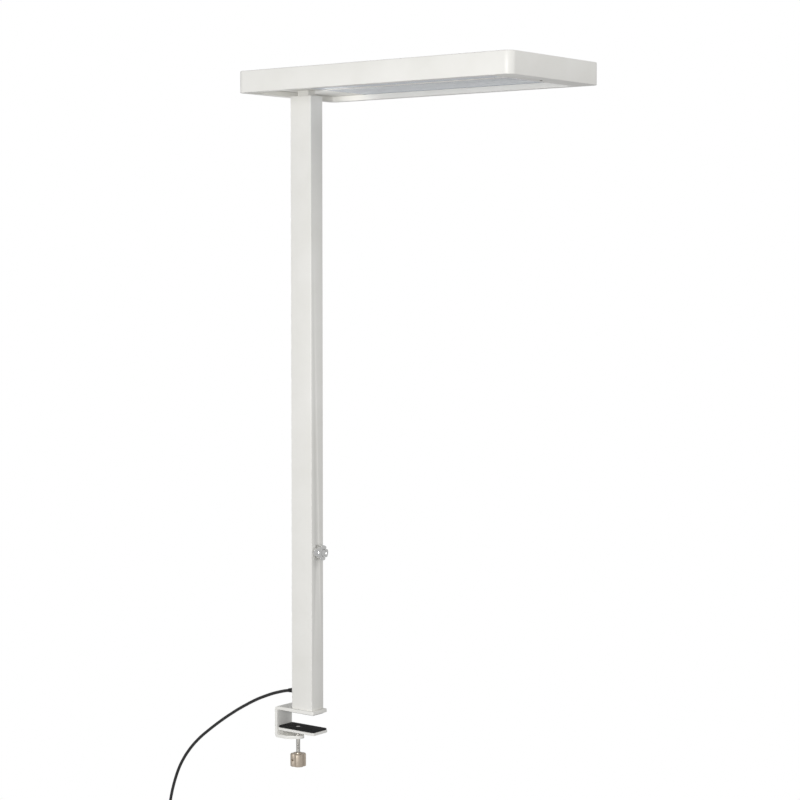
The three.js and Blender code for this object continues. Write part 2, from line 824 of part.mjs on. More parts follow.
function terminalBlock() {
  const half = terminalWidth / 2;
  return block(terminalRear, terminalRear + terminalLength, -half, half, electronicsFloor, electronicsFloor + 11);
}

function driverBox() {
  const half = driverWidth / 2;
  const top = coverTop - coverThickness - driverAirGap;
  return roundedSlab(driverRear, -half, driverRear + driverLength, half, 3, electronicsFloor, top, 3);
}

function innerLead() {
  const start = -columnDepth / 2 + columnWall + 4;
  const points = [
    [start, 0, glandZ],
    [start + 8, 0, glandZ + 4],
    [-3, 0, glandZ + 24],
    [0, 0, glandZ + 50],
    [0, 0, (glandZ + headBottom) / 2],
    [0, 0, headBottom - neckPlug],
    [0, 0, carrierTop + 1],
    [3.5, 0, carrierTop + 5.5],
    [12, 0, carrierTop + 7],
    [terminalRear - touchGap, 0, carrierTop + 7],
  ];
  return tube(points, innerLeadDiameter, 8, 24);
}

add("head_housing", headHousing(), whitePowder());
add("head_rim", headRim(), whitePowder());
add("rear_blank", rearBlank(), whitePowder());
pair("optic_panel", ribWidth / 2 + touchGap, openingSide + opticBearing, opticRear, opticFront, opticBottom, opticTop, clearOptic);
add(
  "centre_rib",
  block(opticRear, openingFront - touchGap, -ribWidth / 2, ribWidth / 2, opticBottom - ribDrop, opticTop),
  whitePowder(),
);
pair("light_guide", ribWidth, guideSide, opticRear + 6, openingFront, guideBottom, guideTop, clearOptic);
pair("led_strip", stripStart, stripStart + stripThickness, opticRear + 6, openingFront, guideBottom, guideTop, whitePlastic);
add(
  "reflector_sheet",
  block(opticRear, opticFront, -guideSide - 6, guideSide + 6, reflectorBottom, reflectorBottom + reflectorThickness),
  whitePlastic(),
);
add("carrier_plate", carrierPlate(), aluminium());
uplightBoards();
add("uplight_cover", uplightCover(), opalPlastic());
add("driver_box", driverBox(), whitePlastic());
add("terminal_block", terminalBlock(), whitePlastic());
add("sensor_lens", sensorLens(), blackPlastic());
add("sensor_board", sensorBoard(), blackPlastic());
add("head_neck", headNeck(), whitePowder());
neckScrewPlaces.forEach(([x, y], i) => add(`neck_screw_${i + 1}`, neckScrew(x, y), brightSteel()));
add("inner_lead", innerLead(), whitePlastic());

// ---- Mains lead ----

// Bushing in the column's back wall with a tapered, slightly drooping sleeve.
function cordGland() {
  const wallOuter = columnDepth / 2;
  const barrel = rod(glandBarrel / 2, wallOuter - columnWall - 1.5, wallOuter + 1);
  const flange = rod(glandFlange / 2, wallOuter + touchGap, wallOuter + touchGap + glandFlangeThickness);
  const sleeve = rod(glandBarrel / 2, 0, glandLength, 0, 0, glandTip / 2);
  sleeve.rotateY(-glandTilt).translate(0, 0, wallOuter + touchGap);
  const gland = join(barrel, flange, sleeve);
  return gland.rotateY(-Math.PI / 2).translate(0, 0, glandZ);
}

const coilHalfDepth = (coilTurnsDeep * leadDiameter) / 2 + coilSlack;
const coilHalfWidth = (coilTurnsAcross * leadDiameter) / 2 + coilSlack;
const coilCentreX = coilEntry + coilRadius + leadDiameter / 2;
const coilOuter = coilRadius + coilHalfDepth;
const tailY = -leadDiameter;
// Where a straight lead beside the ring's outer turn clears the ring.
const coilClear = Math.sqrt(coilOuter ** 2 - coilRadius ** 2) + touchGap;

function cordCoil() {
  const points = [];
  const steps = 2;
  const corners = [
    [coilOuter - 2, coilHalfWidth - 2, 0],
    [coilRadius - coilHalfDepth + 2, coilHalfWidth - 2, 1],
    [coilRadius - coilHalfDepth + 2, -coilHalfWidth + 2, 2],
    [coilOuter - 2, -coilHalfWidth + 2, 3],
  ];
  for (const [radius, height, quarter] of corners) {
    for (let i = 0; i <= steps; i += 1) {
      const angle = (quarter + i / steps) * (Math.PI / 2);
      points.push(new THREE.Vector2(radius + 2 * Math.cos(angle), height + 2 * Math.sin(angle)));
    }
  }
  points.push(points[0].clone());
  return new THREE.LatheGeometry(points, 40).translate(coilCentreX, 0, coilCentreZ);
}

function cordTie() {
  const inner = {
    x0: coilCentreX - coilOuter - touchGap,
    x1: coilCentreX - coilRadius + coilHalfDepth + touchGap + 1.5,
    half: coilHalfWidth + touchGap,
  };
  const z0 = coilCentreZ - tieWidth / 2;
  const z1 = coilCentreZ + tieWidth / 2;
  const t = tieThickness;
  const band = roundedRect(inner.x0 - t, -inner.half - t, inner.x1 + t, inner.half + t, 3);
  const hole = roundedRect(inner.x0, -inner.half, inner.x1, inner.half, 1.5);
  return cut(slab(band, z0, z1, 4), slab(hole, z0 - 1, z1 + 1, 4));
}

const leadRoute = [...leadPoints, [coilEntry, 0, coilCentreZ + coilClear]];
const tailTop = coilCentreZ - coilClear;
const bootTop = tailTop - tailLength;
const plugTop = bootTop - plugBootLength - touchGap;
const plugBottom = plugTop - plugLength;

function cordTail() {
  return rod(leadDiameter / 2, bootTop + touchGap, tailTop, coilEntry, tailY, undefined, 10);
}

function plugBoot() {
  return rod(5.5, bootTop - plugBootLength, bootTop, coilEntry, tailY, glandTip / 2, 20);
}

function plugBody() {
  const radius = plugDiameter / 2;
  const body = turned([
    [0, plugBottom],
    [radius - 1, plugBottom],
    [radius, plugBottom + 1],
    [radius, plugBottom + plugLength * 0.45],
    [radius * 0.72, plugTop - 4],
    [radius * 0.45, plugTop],
    [0, plugTop],
  ], 28);
  const holes = [-1, 1].map((side) => rod(plugPinDiameter / 2 + touchGap, plugBottom - 1, plugBottom + 6, (side * plugPinSpacing) / 2, 0, undefined, 16));
  return cut(body, ...holes).translate(coilEntry, tailY, 0);
}

function plugPin(side) {
  const x = coilEntry + (side * plugPinSpacing) / 2;
  return rod(plugPinDiameter / 2 - 0.6, plugBottom - plugPinLength, plugBottom + 5.5, x, tailY, plugPinDiameter / 2, 16);
}

add("cord_gland", cordGland(), blackPlastic());
add("cord_lead", tube(leadRoute, leadDiameter, 10, leadDiameter * 2.5), blackPlastic());
add("cord_coil", cordCoil(), blackPlastic());
add("cord_tie", cordTie(), blackPlastic());
add("cord_tail", cordTail(), blackPlastic());
add("plug_boot", plugBoot(), blackPlastic());
add("plug_body", plugBody(), blackPlastic());
add("plug_pin_1", plugPin(-1), brassPlate());
add("plug_pin_2", plugPin(1), brassPlate());

export default lamp;
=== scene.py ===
import math

import bmesh
import bpy
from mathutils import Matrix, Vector


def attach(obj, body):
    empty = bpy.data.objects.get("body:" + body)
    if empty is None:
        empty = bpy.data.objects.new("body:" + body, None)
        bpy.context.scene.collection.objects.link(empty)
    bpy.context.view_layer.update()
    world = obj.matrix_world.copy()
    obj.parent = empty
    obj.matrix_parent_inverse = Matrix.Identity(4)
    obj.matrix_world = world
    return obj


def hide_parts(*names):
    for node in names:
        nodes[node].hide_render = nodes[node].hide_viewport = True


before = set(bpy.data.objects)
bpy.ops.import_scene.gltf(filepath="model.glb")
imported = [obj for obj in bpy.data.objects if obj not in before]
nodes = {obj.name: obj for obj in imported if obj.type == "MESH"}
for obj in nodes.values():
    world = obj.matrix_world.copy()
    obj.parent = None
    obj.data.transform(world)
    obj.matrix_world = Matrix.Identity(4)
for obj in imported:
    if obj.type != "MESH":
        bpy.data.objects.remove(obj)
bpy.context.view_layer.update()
print("frame loaded,", len(nodes), "nodes")

# Camera: a long lens at the lamp's right front, looking slightly down, with a small shift

cameraSetup = {
    "place": (2.4812, -2.9242, 0.8441), "tilt": 87.562, "turn": 37.681, "lens": 91.11, "sensor": 36,
    "shiftY": -0.055,
}

bpy.ops.object.camera_add(
    location=cameraSetup["place"],
    rotation=(math.radians(cameraSetup["tilt"]), 0, math.radians(cameraSetup["turn"])),
)
camera = bpy.context.object
camera.data.sensor_width = cameraSetup["sensor"]
camera.data.lens = cameraSetup["lens"]
camera.data.shift_y = cameraSetup["shiftY"]
bpy.context.scene.camera = camera
print("camera placed")


# Small tools for materials


def linear(hexColour):
    values = [int(hexColour[i : i + 2], 16) / 255 for i in (1, 3, 5)]
    return [v / 12.92 if v <= 0.04045 else ((v + 0.055) / 1.055) ** 2.4 for v in values] + [1]


def addNode(material, kind, settings=None, links=None):
    # settings hold inputs, properties or a colour ramp's stops; links hold (node, output) by input
    node = material.node_tree.nodes.new(kind)
    for name, value in (settings or {}).items():
        if name == "stops":
            for stop, (position, colour) in zip(node.color_ramp.elements, value):
                stop.position = position
                stop.color = linear(colour)
        elif name in node.inputs:
            node.inputs[name].default_value = value
        else:
            setattr(node, name, value)
    for name, (source, output) in (links or {}).items():
        material.node_tree.links.new(source.outputs[output], node.inputs[name])
    return node


def newFinish(name, settings):
    material = bpy.data.materials.new(name)
    material.use_nodes = True
    shader = material.node_tree.nodes["Principled BSDF"]
    for key, value in settings.items():
        shader.inputs[key].default_value = value
    place = addNode(material, "ShaderNodeTexCoord")
    return material, shader, place


def drive(material, shader, wires):
    for name, (source, output) in wires.items():
        material.node_tree.links.new(source.outputs[output], shader.inputs[name])


def perMetre(millimetres):
    return 1000 / millimetres


# Epoxy powder coat on steel and aluminium: a warm white, softly glossy, with a fine orange peel
powderCoat = {
    "light": "#F4F3EF", "dark": "#EEEDE8", "cloudMm": 70, "peelMm": 1.2, "peelDepth": 0.000012,
    "roughLow": 0.34, "roughHigh": 0.44,
}
whitePowder, shader, place = newFinish("whitePowderCoat", {"IOR": 1.5})
clouds = addNode(whitePowder, "ShaderNodeTexNoise", {"Scale": perMetre(powderCoat["cloudMm"]), "Detail": 3},
                 {"Vector": (place, "Object")})
tint = addNode(whitePowder, "ShaderNodeValToRGB",
               {"stops": [(0.3, powderCoat["dark"]), (0.7, powderCoat["light"])]}, {"Fac": (clouds, "Fac")})
peel = addNode(whitePowder, "ShaderNodeTexNoise", {"Scale": perMetre(powderCoat["peelMm"]), "Detail": 1},
               {"Vector": (place, "Object")})
gloss = addNode(whitePowder, "ShaderNodeMapRange",
                {"To Min": powderCoat["roughLow"], "To Max": powderCoat["roughHigh"]},
                {"Value": (peel, "Fac")})
relief = addNode(whitePowder, "ShaderNodeBump", {"Distance": powderCoat["peelDepth"], "Strength": 0.6},
                 {"Height": (peel, "Fac")})
drive(whitePowder, shader,
      {"Base Color": (tint, "Color"), "Roughness": (gloss, "Result"), "Normal": (relief, "Normal")})

# Turned bright steel: a cool grey metal whose fine lathe rings run round the part
turnedSteel = {"light": "#E2E1DE", "dark": "#CFCDC9", "ringMm": 0.5, "ringDepth": 0.000008}
brightSteel, shader, place = newFinish("turnedBrightSteel", {"Metallic": 1})
stretch = addNode(brightSteel, "ShaderNodeMapping", {"Scale": (0.02, 0.02, 1)},
                  {"Vector": (place, "Object")})
rings = addNode(brightSteel, "ShaderNodeTexNoise", {"Scale": perMetre(turnedSteel["ringMm"]), "Detail": 2},
                {"Vector": (stretch, "Vector")})
tint = addNode(brightSteel, "ShaderNodeValToRGB",
               {"stops": [(0.3, turnedSteel["dark"]), (0.7, turnedSteel["light"])]}, {"Fac": (rings, "Fac")})
gloss = addNode(brightSteel, "ShaderNodeMapRange", {"To Min": 0.12, "To Max": 0.26},
                {"Value": (rings, "Fac")})
relief = addNode(brightSteel, "ShaderNodeBump", {"Distance": turnedSteel["ringDepth"]},
                 {"Height": (rings, "Fac")})
drive(brightSteel, shader,
      {"Base Color": (tint, "Color"), "Roughness": (gloss, "Result"), "Normal": (relief, "Normal")})

# Satin nickel on die-cast zinc: a warm brownish grey with a fine cast grain
satinNickel = {"light": "#CFC3B4", "dark": "#B3A696", "grainMm": 0.9, "grainDepth": 0.00003}
handKnobMetal, shader, place = newFinish("satinNickelZinc", {"Metallic": 0.6})
grain = addNode(handKnobMetal, "ShaderNodeTexNoise", {"Scale": perMetre(satinNickel["grainMm"]), "Detail": 4},
                {"Vector": (place, "Object")})
tint = addNode(handKnobMetal, "ShaderNodeValToRGB",
               {"stops": [(0.35, satinNickel["dark"]), (0.65, satinNickel["light"])]},
               {"Fac": (grain, "Fac")})
gloss = addNode(handKnobMetal, "ShaderNodeMapRange", {"To Min": 0.34, "To Max": 0.5},
                {"Value": (grain, "Fac")})
relief = addNode(handKnobMetal, "ShaderNodeBump", {"Distance": satinNickel["grainDepth"], "Strength": 0.7},
                 {"Height": (grain, "Fac")})
drive(handKnobMetal, shader,
      {"Base Color": (tint, "Color"), "Roughness": (gloss, "Result"), "Normal": (relief, "Normal")})

# Polished chrome plate: a near mirror, with faint polishing haze
chromePlate = {"light": "#EDEDEC", "dark": "#DEDEDD", "hazeMm": 4}
dialChrome, shader, place = newFinish("polishedChrome", {"Metallic": 1})
haze = addNode(dialChrome, "ShaderNodeTexNoise", {"Scale": perMetre(chromePlate["hazeMm"]), "Detail": 5},
               {"Vector": (place, "Object")})
tint = addNode(dialChrome, "ShaderNodeValToRGB",
               {"stops": [(0.3, chromePlate["dark"]), (0.7, chromePlate["light"])]}, {"Fac": (haze, "Fac")})
gloss = addNode(dialChrome, "ShaderNodeMapRange", {"To Min": 0.04, "To Max": 0.12}, {"Value": (haze, "Fac")})
drive(dialChrome, shader, {"Base Color": (tint, "Color"), "Roughness": (gloss, "Result")})

# Moulded black rubber: dull, with small pores that keep it from slipping
padRubber = {"light": "#1D1D1E", "dark": "#0F0F10", "poreMm": 0.8, "poreDepth": 0.00006}
blackRubber, shader, place = newFinish("blackRubber", {"IOR": 1.52, "Specular IOR Level": 0.3})
pores = addNode(blackRubber, "ShaderNodeTexVoronoi", {"Scale": perMetre(padRubber["poreMm"])},
                {"Vector": (place, "Object")})
tint = addNode(blackRubber, "ShaderNodeValToRGB",
               {"stops": [(0.1, padRubber["dark"]), (0.8, padRubber["light"])]},
               {"Fac": (pores, "Distance")})
gloss = addNode(blackRubber, "ShaderNodeMapRange", {"To Min": 0.9, "To Max": 0.72},
                {"Value": (pores, "Distance")})
relief = addNode(blackRubber, "ShaderNodeBump", {"Distance": padRubber["poreDepth"], "Strength": 0.5},
                 {"Height": (pores, "Distance")})
drive(blackRubber, shader,
      {"Base Color": (tint, "Color"), "Roughness": (gloss, "Result"), "Normal": (relief, "Normal")})

# Moulded black polyamide: a spark-eroded grain, half matt
mouldedBlack = {"light": "#1E1E20", "dark": "#141415", "grainMm": 0.5, "grainDepth": 0.00003}
blackPlastic, shader, place = newFinish("blackPolyamide", {"IOR": 1.53})
grain = addNode(blackPlastic, "ShaderNodeTexNoise", {"Scale": perMetre(mouldedBlack["grainMm"]), "Detail": 2},
                {"Vector": (place, "Object")})
tint = addNode(blackPlastic, "ShaderNodeValToRGB",
               {"stops": [(0.3, mouldedBlack["dark"]), (0.7, mouldedBlack["light"])]},
               {"Fac": (grain, "Fac")})
gloss = addNode(blackPlastic, "ShaderNodeMapRange", {"To Min": 0.4, "To Max": 0.56},
                {"Value": (grain, "Fac")})
relief = addNode(blackPlastic, "ShaderNodeBump", {"Distance": mouldedBlack["grainDepth"], "Strength": 0.5},
                 {"Height": (grain, "Fac")})
drive(blackPlastic, shader,
      {"Base Color": (tint, "Color"), "Roughness": (gloss, "Result"), "Normal": (relief, "Normal")})

# Extruded PVC sheath: smooth black with a slight waviness from the strands under it
sheath = {"light": "#1A1A1B", "dark": "#111112", "waveMm": 9, "waveDepth": 0.00012}
leadSheath, shader, place = newFinish("blackPvcSheath", {"IOR": 1.53})
waves = addNode(leadSheath, "ShaderNodeTexNoise", {"Scale": perMetre(sheath["waveMm"]), "Detail": 3},
                {"Vector": (place, "Object")})
tint = addNode(leadSheath, "ShaderNodeValToRGB",
               {"stops": [(0.3, sheath["dark"]), (0.7, sheath["light"])]}, {"Fac": (waves, "Fac")})
gloss = addNode(leadSheath, "ShaderNodeMapRange", {"To Min": 0.34, "To Max": 0.5}, {"Value": (waves, "Fac")})
relief = addNode(leadSheath, "ShaderNodeBump", {"Distance": sheath["waveDepth"], "Strength": 0.4},
                 {"Height": (waves, "Fac")})
drive(leadSheath, shader,
      {"Base Color": (tint, "Color"), "Roughness": (gloss, "Result"), "Normal": (relief, "Normal")})

# Micro-prismatic acrylic: a pale, slightly blue sheet with a field of small pyramids
prismSheet = {"light": "#E3E8F0", "dark": "#D3DAE4", "pitchMm": 2.5, "prismDepth": 0.0006}
clearOptic, shader, place = newFinish("prismaticAcrylic",
                                      {"IOR": 1.49, "Coat Weight": 0.3, "Coat Roughness": 0.1})
turned = addNode(clearOptic, "ShaderNodeMapping", {"Rotation": (0, 0, math.pi / 4)},
                 {"Vector": (place, "Object")})
prisms = addNode(clearOptic, "ShaderNodeTexVoronoi",
                 {"Scale": perMetre(prismSheet["pitchMm"]), "Randomness": 0.0, "distance": "CHEBYCHEV"},
                 {"Vector": (turned, "Vector")})
tint = addNode(clearOptic, "ShaderNodeValToRGB",
               {"stops": [(0.1, prismSheet["light"]), (0.5, prismSheet["dark"])]},
               {"Fac": (prisms, "Distance")})
gloss = addNode(clearOptic, "ShaderNodeMapRange", {"To Min": 0.2, "To Max": 0.34},
                {"Value": (prisms, "Distance")})
relief = addNode(clearOptic, "ShaderNodeBump",
                 {"Distance": prismSheet["prismDepth"], "Strength": 0.4, "invert": True},
                 {"Height": (prisms, "Distance")})
drive(clearOptic, shader,
      {"Base Color": (tint, "Color"), "Roughness": (gloss, "Result"), "Normal": (relief, "Normal")})

# Opal acrylic cover: milky white, smooth, with a faint cast ripple
opal = {"light": "#F6F7F5", "dark": "#EDEFED", "rippleMm": 14, "rippleDepth": 0.00004}
opalPlastic, shader, place = newFinish("opalAcrylic",
                                       {"IOR": 1.49, "Subsurface Weight": 0.2, "Subsurface Scale": 0.002})
ripple = addNode(opalPlastic, "ShaderNodeTexNoise", {"Scale": perMetre(opal["rippleMm"]), "Detail": 2},
                 {"Vector": (place, "Object")})
tint = addNode(opalPlastic, "ShaderNodeValToRGB",
               {"stops": [(0.3, opal["dark"]), (0.7, opal["light"])]}, {"Fac": (ripple, "Fac")})
gloss = addNode(opalPlastic, "ShaderNodeMapRange", {"To Min": 0.22, "To Max": 0.34},
                {"Value": (ripple, "Fac")})
relief = addNode(opalPlastic, "ShaderNodeBump", {"Distance": opal["rippleDepth"], "Strength": 0.4},
                 {"Height": (ripple, "Fac")})
drive(opalPlastic, shader,
      {"Base Color": (tint, "Color"), "Roughness": (gloss, "Result"), "Normal": (relief, "Normal")})

# Extruded mill-finish aluminium: grey, with drawing lines along its length
millAluminium = {"light": "#C3C6C9", "dark": "#A9ADB1", "lineMm": 0.6, "lineDepth": 0.00001}
plainAluminium, shader, place = newFinish("millAluminium", {"Metallic": 1})
stretch = addNode(plainAluminium, "ShaderNodeMapping", {"Scale": (1, 1, 0.02)},
                  {"Vector": (place, "Object")})
lines = addNode(plainAluminium, "ShaderNodeTexNoise",
                {"Scale": perMetre(millAluminium["lineMm"]), "Detail": 2},
                {"Vector": (stretch, "Vector")})
tint = addNode(plainAluminium, "ShaderNodeValToRGB",
               {"stops": [(0.3, millAluminium["dark"]), (0.7, millAluminium["light"])]},
               {"Fac": (lines, "Fac")})
gloss = addNode(plainAluminium, "ShaderNodeMapRange", {"To Min": 0.3, "To Max": 0.46},
                {"Value": (lines, "Fac")})
relief = addNode(plainAluminium, "ShaderNodeBump", {"Distance": millAluminium["lineDepth"]},
                 {"Height": (lines, "Fac")})
drive(plainAluminium, shader,
      {"Base Color": (tint, "Color"), "Roughness": (gloss, "Result"), "Normal": (relief, "Normal")})

# Moulded white polycarbonate: even, with a fine mould grain
mouldedWhite = {"light": "#EFEDE7", "dark": "#E6E4DD", "grainMm": 0.7, "grainDepth": 0.00002}
whitePlastic, shader, place = newFinish("whitePolycarbonate", {"IOR": 1.58})
grain = addNode(whitePlastic, "ShaderNodeTexNoise", {"Scale": perMetre(mouldedWhite["grainMm"]), "Detail": 2},
                {"Vector": (place, "Object")})
tint = addNode(whitePlastic, "ShaderNodeValToRGB",
               {"stops": [(0.3, mouldedWhite["dark"]), (0.7, mouldedWhite["light"])]},
               {"Fac": (grain, "Fac")})
gloss = addNode(whitePlastic, "ShaderNodeMapRange", {"To Min": 0.42, "To Max": 0.56},
                {"Value": (grain, "Fac")})
relief = addNode(whitePlastic, "ShaderNodeBump", {"Distance": mouldedWhite["grainDepth"], "Strength": 0.5},
                 {"Height": (grain, "Fac")})
drive(whitePlastic, shader,
      {"Base Color": (tint, "Color"), "Roughness": (gloss, "Result"), "Normal": (relief, "Normal")})

# Nickel-plated brass pins: a pale yellowish metal with small contact scuffs
platedBrass = {"light": "#D8CDB2", "dark": "#BFAE86", "scuffMm": 1.5}
pinBrass, shader, place = newFinish("platedBrass", {"Metallic": 1})
scuffs = addNode(pinBrass, "ShaderNodeTexNoise", {"Scale": perMetre(platedBrass["scuffMm"]), "Detail": 6},
                 {"Vector": (place, "Object")})
tint = addNode(pinBrass, "ShaderNodeValToRGB",
               {"stops": [(0.35, platedBrass["dark"]), (0.6, platedBrass["light"])]},
               {"Fac": (scuffs, "Fac")})
gloss = addNode(pinBrass, "ShaderNodeMapRange", {"To Min": 0.16, "To Max": 0.36}, {"Value": (scuffs, "Fac")})
drive(pinBrass, shader, {"Base Color": (tint, "Color"), "Roughness": (gloss, "Result")})

finishOfSlot = {
    "white_powder": whitePowder, "bright_steel": brightSteel, "hand_knob_metal": handKnobMetal,
    "dial_chrome": dialChrome, "black_rubber": blackRubber, "black_plastic": blackPlastic,
    "lead_sheath": leadSheath, "clear_optic": clearOptic, "opal_plastic": opalPlastic,
    "plain_aluminium": plainAluminium, "white_plastic": whitePlastic, "pin_brass": pinBrass,
}
print("finishes made")


# Small tools for modelling

past = 0.001  # how far a cutter reaches beyond the surface it opens
nearEnough = 0.00005


def onlyThis(piece):
    bpy.ops.object.select_all(action="DESELECT")
    piece.select_set(True)
    bpy.context.view_layer.objects.active = piece


def openEdit(piece, kind):
    onlyThis(piece)
    bpy.ops.object.mode_set(mode="EDIT")
    bpy.ops.mesh.select_mode(type=kind)
    bpy.ops.mesh.select_all(action="DESELECT")


def closeEdit():
    bpy.ops.object.mode_set(mode="OBJECT")


def chooseFaces(piece, test):
    bpy.ops.mesh.select_all(action="DESELECT")
    mesh = bmesh.from_edit_mesh(piece.data)
    for face in mesh.faces:
        if test(face.calc_center_median(), face.normal):
            face.select_set(True)
    bmesh.update_edit_mesh(piece.data)


def chooseEdges(piece, test):
    bpy.ops.mesh.select_all(action="DESELECT")
    mesh = bmesh.from_edit_mesh(piece.data)
    for edge in mesh.edges:
        if test(edge.verts[0].co, edge.verts[1].co):
            edge.select_set(True)
    bmesh.update_edit_mesh(piece.data)


def bevelChosen(piece, test, width, steps):
    openEdit(piece, "EDGE")
    chooseEdges(piece, test)
    bpy.ops.mesh.bevel(offset=width, segments=steps, affect="EDGES", clamp_overlap=True)
    closeEdit()


def near(a, b):
    return abs(a - b) < nearEnough


def upright(a, b):
    return near(a.x, b.x) and near(a.y, b.y)


def block(name, low, high):
    bpy.ops.object.select_all(action="DESELECT")
    middle = [(a + b) / 2 for a, b in zip(low, high)]
    bpy.ops.mesh.primitive_cube_add(size=1, location=middle, scale=[b - a for a, b in zip(low, high)])
    piece = bpy.context.object
    piece.name = name
    bpy.ops.object.transform_apply(location=True, rotation=True, scale=True)
    return piece


def roundedBlock(name, low, high, corner, steps=8):
    piece = block(name, low, high)
    bevelChosen(piece, upright, corner, steps)
    return piece


def drum(name, radius, start, end, sides=64, endRadius=None):
    # a round bar or cone from start to end, along any line
    bpy.ops.object.select_all(action="DESELECT")
    start, end = Vector(start), Vector(end)
    line = end - start
    bpy.ops.mesh.primitive_cone_add(
        vertices=sides,
        radius1=radius,
        radius2=radius if endRadius is None else endRadius,
        depth=line.length,
        location=(start + end) / 2,
        rotation=line.to_track_quat("Z", "Y").to_euler(),
    )
    piece = bpy.context.object
    piece.name = name
    bpy.ops.object.transform_apply(location=True, rotation=True, scale=True)
    return piece


def combine(piece, other, how):
    onlyThis(piece)
    change = piece.modifiers.new("combine", "BOOLEAN")
    change.object = other
    change.operation = how
    change.solver = "EXACT"
    bpy.ops.object.modifier_apply(modifier=change.name)
    bpy.data.objects.remove(other)
    return piece


def easeEdges(piece, width, steps=2, angle=30):
    onlyThis(piece)
    change = piece.modifiers.new("ease", "BEVEL")
    change.width = width
    change.segments = steps
    change.limit_method = "ANGLE"
    change.angle_limit = math.radians(angle)
    change.harden_normals = False
    bpy.ops.object.modifier_apply(modifier=change.name)
    return piece


def hollow(piece, wall):
    onlyThis(piece)
    change = piece.modifiers.new("wall", "SOLIDIFY")
    change.thickness = wall
    change.offset = -1
    change.use_even_offset = True
    bpy.ops.object.modifier_apply(modifier=change.name)
    return piece


def finishPiece(piece, body, stands, slotName, angle=32):
    onlyThis(piece)
    bpy.ops.object.shade_smooth_by_angle(angle=math.radians(angle))
    piece.data.materials.clear()
    piece.data.materials.append(finishOfSlot[slotName])
    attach(piece, body)
    if stands:
        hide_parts(*stands)
    return piece


# Mains lead: its free run, the coil's turns and the end in the plug, in millimetres (the length is in metres)

leadSetup = {
    "diameter": 6,
    "length": 1.8,
    "freeRun": [
        (-47.4, 0, 36.6), (-58, 0, 34.4), (-72, 0, 30.5), (-88, 0, 25.5), (-105, 0, 19),
        (-122, 0, 12), (-140, 0, 3.5), (-158, 0, -6), (-177, 0, -16.5), (-196, 0, -28),
        (-215, 0, -40), (-235, 0, -53.5), (-256, 0, -68.5), (-279, 0, -86), (-301, 0, -106),
        (-321, 0, -129), (-338, 0, -155), (-351, 0, -184), (-361, 0, -215), (-367, 0, -246),
        (-369, 0, -279.4),
    ],
    "coilMiddle": (-333, -301),
    "rows": [(36, 0), (36, 6), (30, 6), (30, 0), (30, -6), (36, -6), (36, -12)],  # radius and Y of each turn
    "bulges": [(1.5, 0), (0, 1.5), (-1.5, 0), (-1.8, 0), (0, -1), (2.5, -0.5)],  # where the turns cross
    "stepsPerTurn": 30,
    "changeFrom": 0.64,  # share of a turn after which it moves over to the next row
    "tail": [
        (-369, -11.4, -313), (-369, -9.4, -325), (-369, -7.2, -336), (-369, -6.1, -347), (-369, -6, -361),
    ],
}


def coilPoints(setup):
    middleX, middleZ = setup["coilMiddle"]
    points = []
    for start, end, bulge in zip(setup["rows"], setup["rows"][1:], setup["bulges"]):
        for step in range(setup["stepsPerTurn"]):
            part = step / setup["stepsPerTurn"]
            shift = max((part - setup["changeFrom"]) / (1 - setup["changeFrom"]), 0)
            ease = shift * shift * (3 - 2 * shift)
            swell = math.sin(math.pi * shift) ** 2
            radius = start[0] + (end[0] - start[0]) * ease + bulge[0] * swell
            y = start[1] + (end[1] - start[1]) * ease + bulge[1] * swell
            angle = math.pi * (1 + 2 * part)
            points.append((middleX + radius * math.cos(angle), y, middleZ + radius * math.sin(angle)))
    radius, y = setup["rows"][-1]
    points.append((middleX - radius, y, middleZ))
    return points


def smoothLine(points, steps):
    last = len(points) - 1
    line = []
    for i in range(last):
        a, b, c, d = (Vector(points[min(max(j, 0), last)]) for j in (i - 1, i, i + 1, i + 2))
        for step in range(steps):
            t = step / steps
            square = (2 * a - 5 * b + 4 * c - d) * t**2
            cube = (3 * b - a - 3 * c + d) * t**3
            line.append(0.5 * (2 * b + (c - a) * t + square + cube))
    line.append(Vector(points[last]))
    return line


leadRoute = smoothLine(leadSetup["freeRun"] + coilPoints(leadSetup) + leadSetup["tail"], 3)
leadCurve = bpy.data.curves.new("mainsLead", "CURVE")
leadCurve.dimensions = "3D"
leadCurve.bevel_depth = leadSetup["diameter"] / 2000
leadCurve.bevel_resolution = 4
leadCurve.use_fill_caps = True
leadLine = leadCurve.splines.new("POLY")
leadLine.points.add(len(leadRoute) - 1)
for spot, point in zip(leadLine.points, leadRoute):
    spot.co = (point.x / 1000, point.y / 1000, point.z / 1000, 1)
leadLine.use_smooth = True
mainsLead = bpy.data.objects.new("mainsLead", leadCurve)
bpy.context.scene.collection.objects.link(mainsLead)
leadCurve.materials.append(leadSheath)
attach(mainsLead, "lamp")
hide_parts("cord_lead", "cord_coil", "cord_tail")


def cutGrooves(piece, start, end, places, width, depth):
    # grooves round a tapered sleeve, at shares of the way from start to end
    start, end = Vector(start), Vector(end)
    along = (end - start).normalized()
    long = (end - start).length
    openEdit(piece, "FACE")
    for place in places:
        for side in (-width / 2, width / 2):
            bpy.ops.mesh.select_all(action="SELECT")
            bpy.ops.mesh.bisect(plane_co=start + along * (place * long + side), plane_no=along)
    for place in places:
        chooseFaces(
            piece,
            lambda middle, normal: abs((middle - start).dot(along) - place * long) < width / 2
            and abs(normal.dot(along)) < 0.5,
        )
        bpy.ops.mesh.extrude_region_shrink_fatten(TRANSFORM_OT_shrink_fatten={"value": -depth})
    closeEdit()


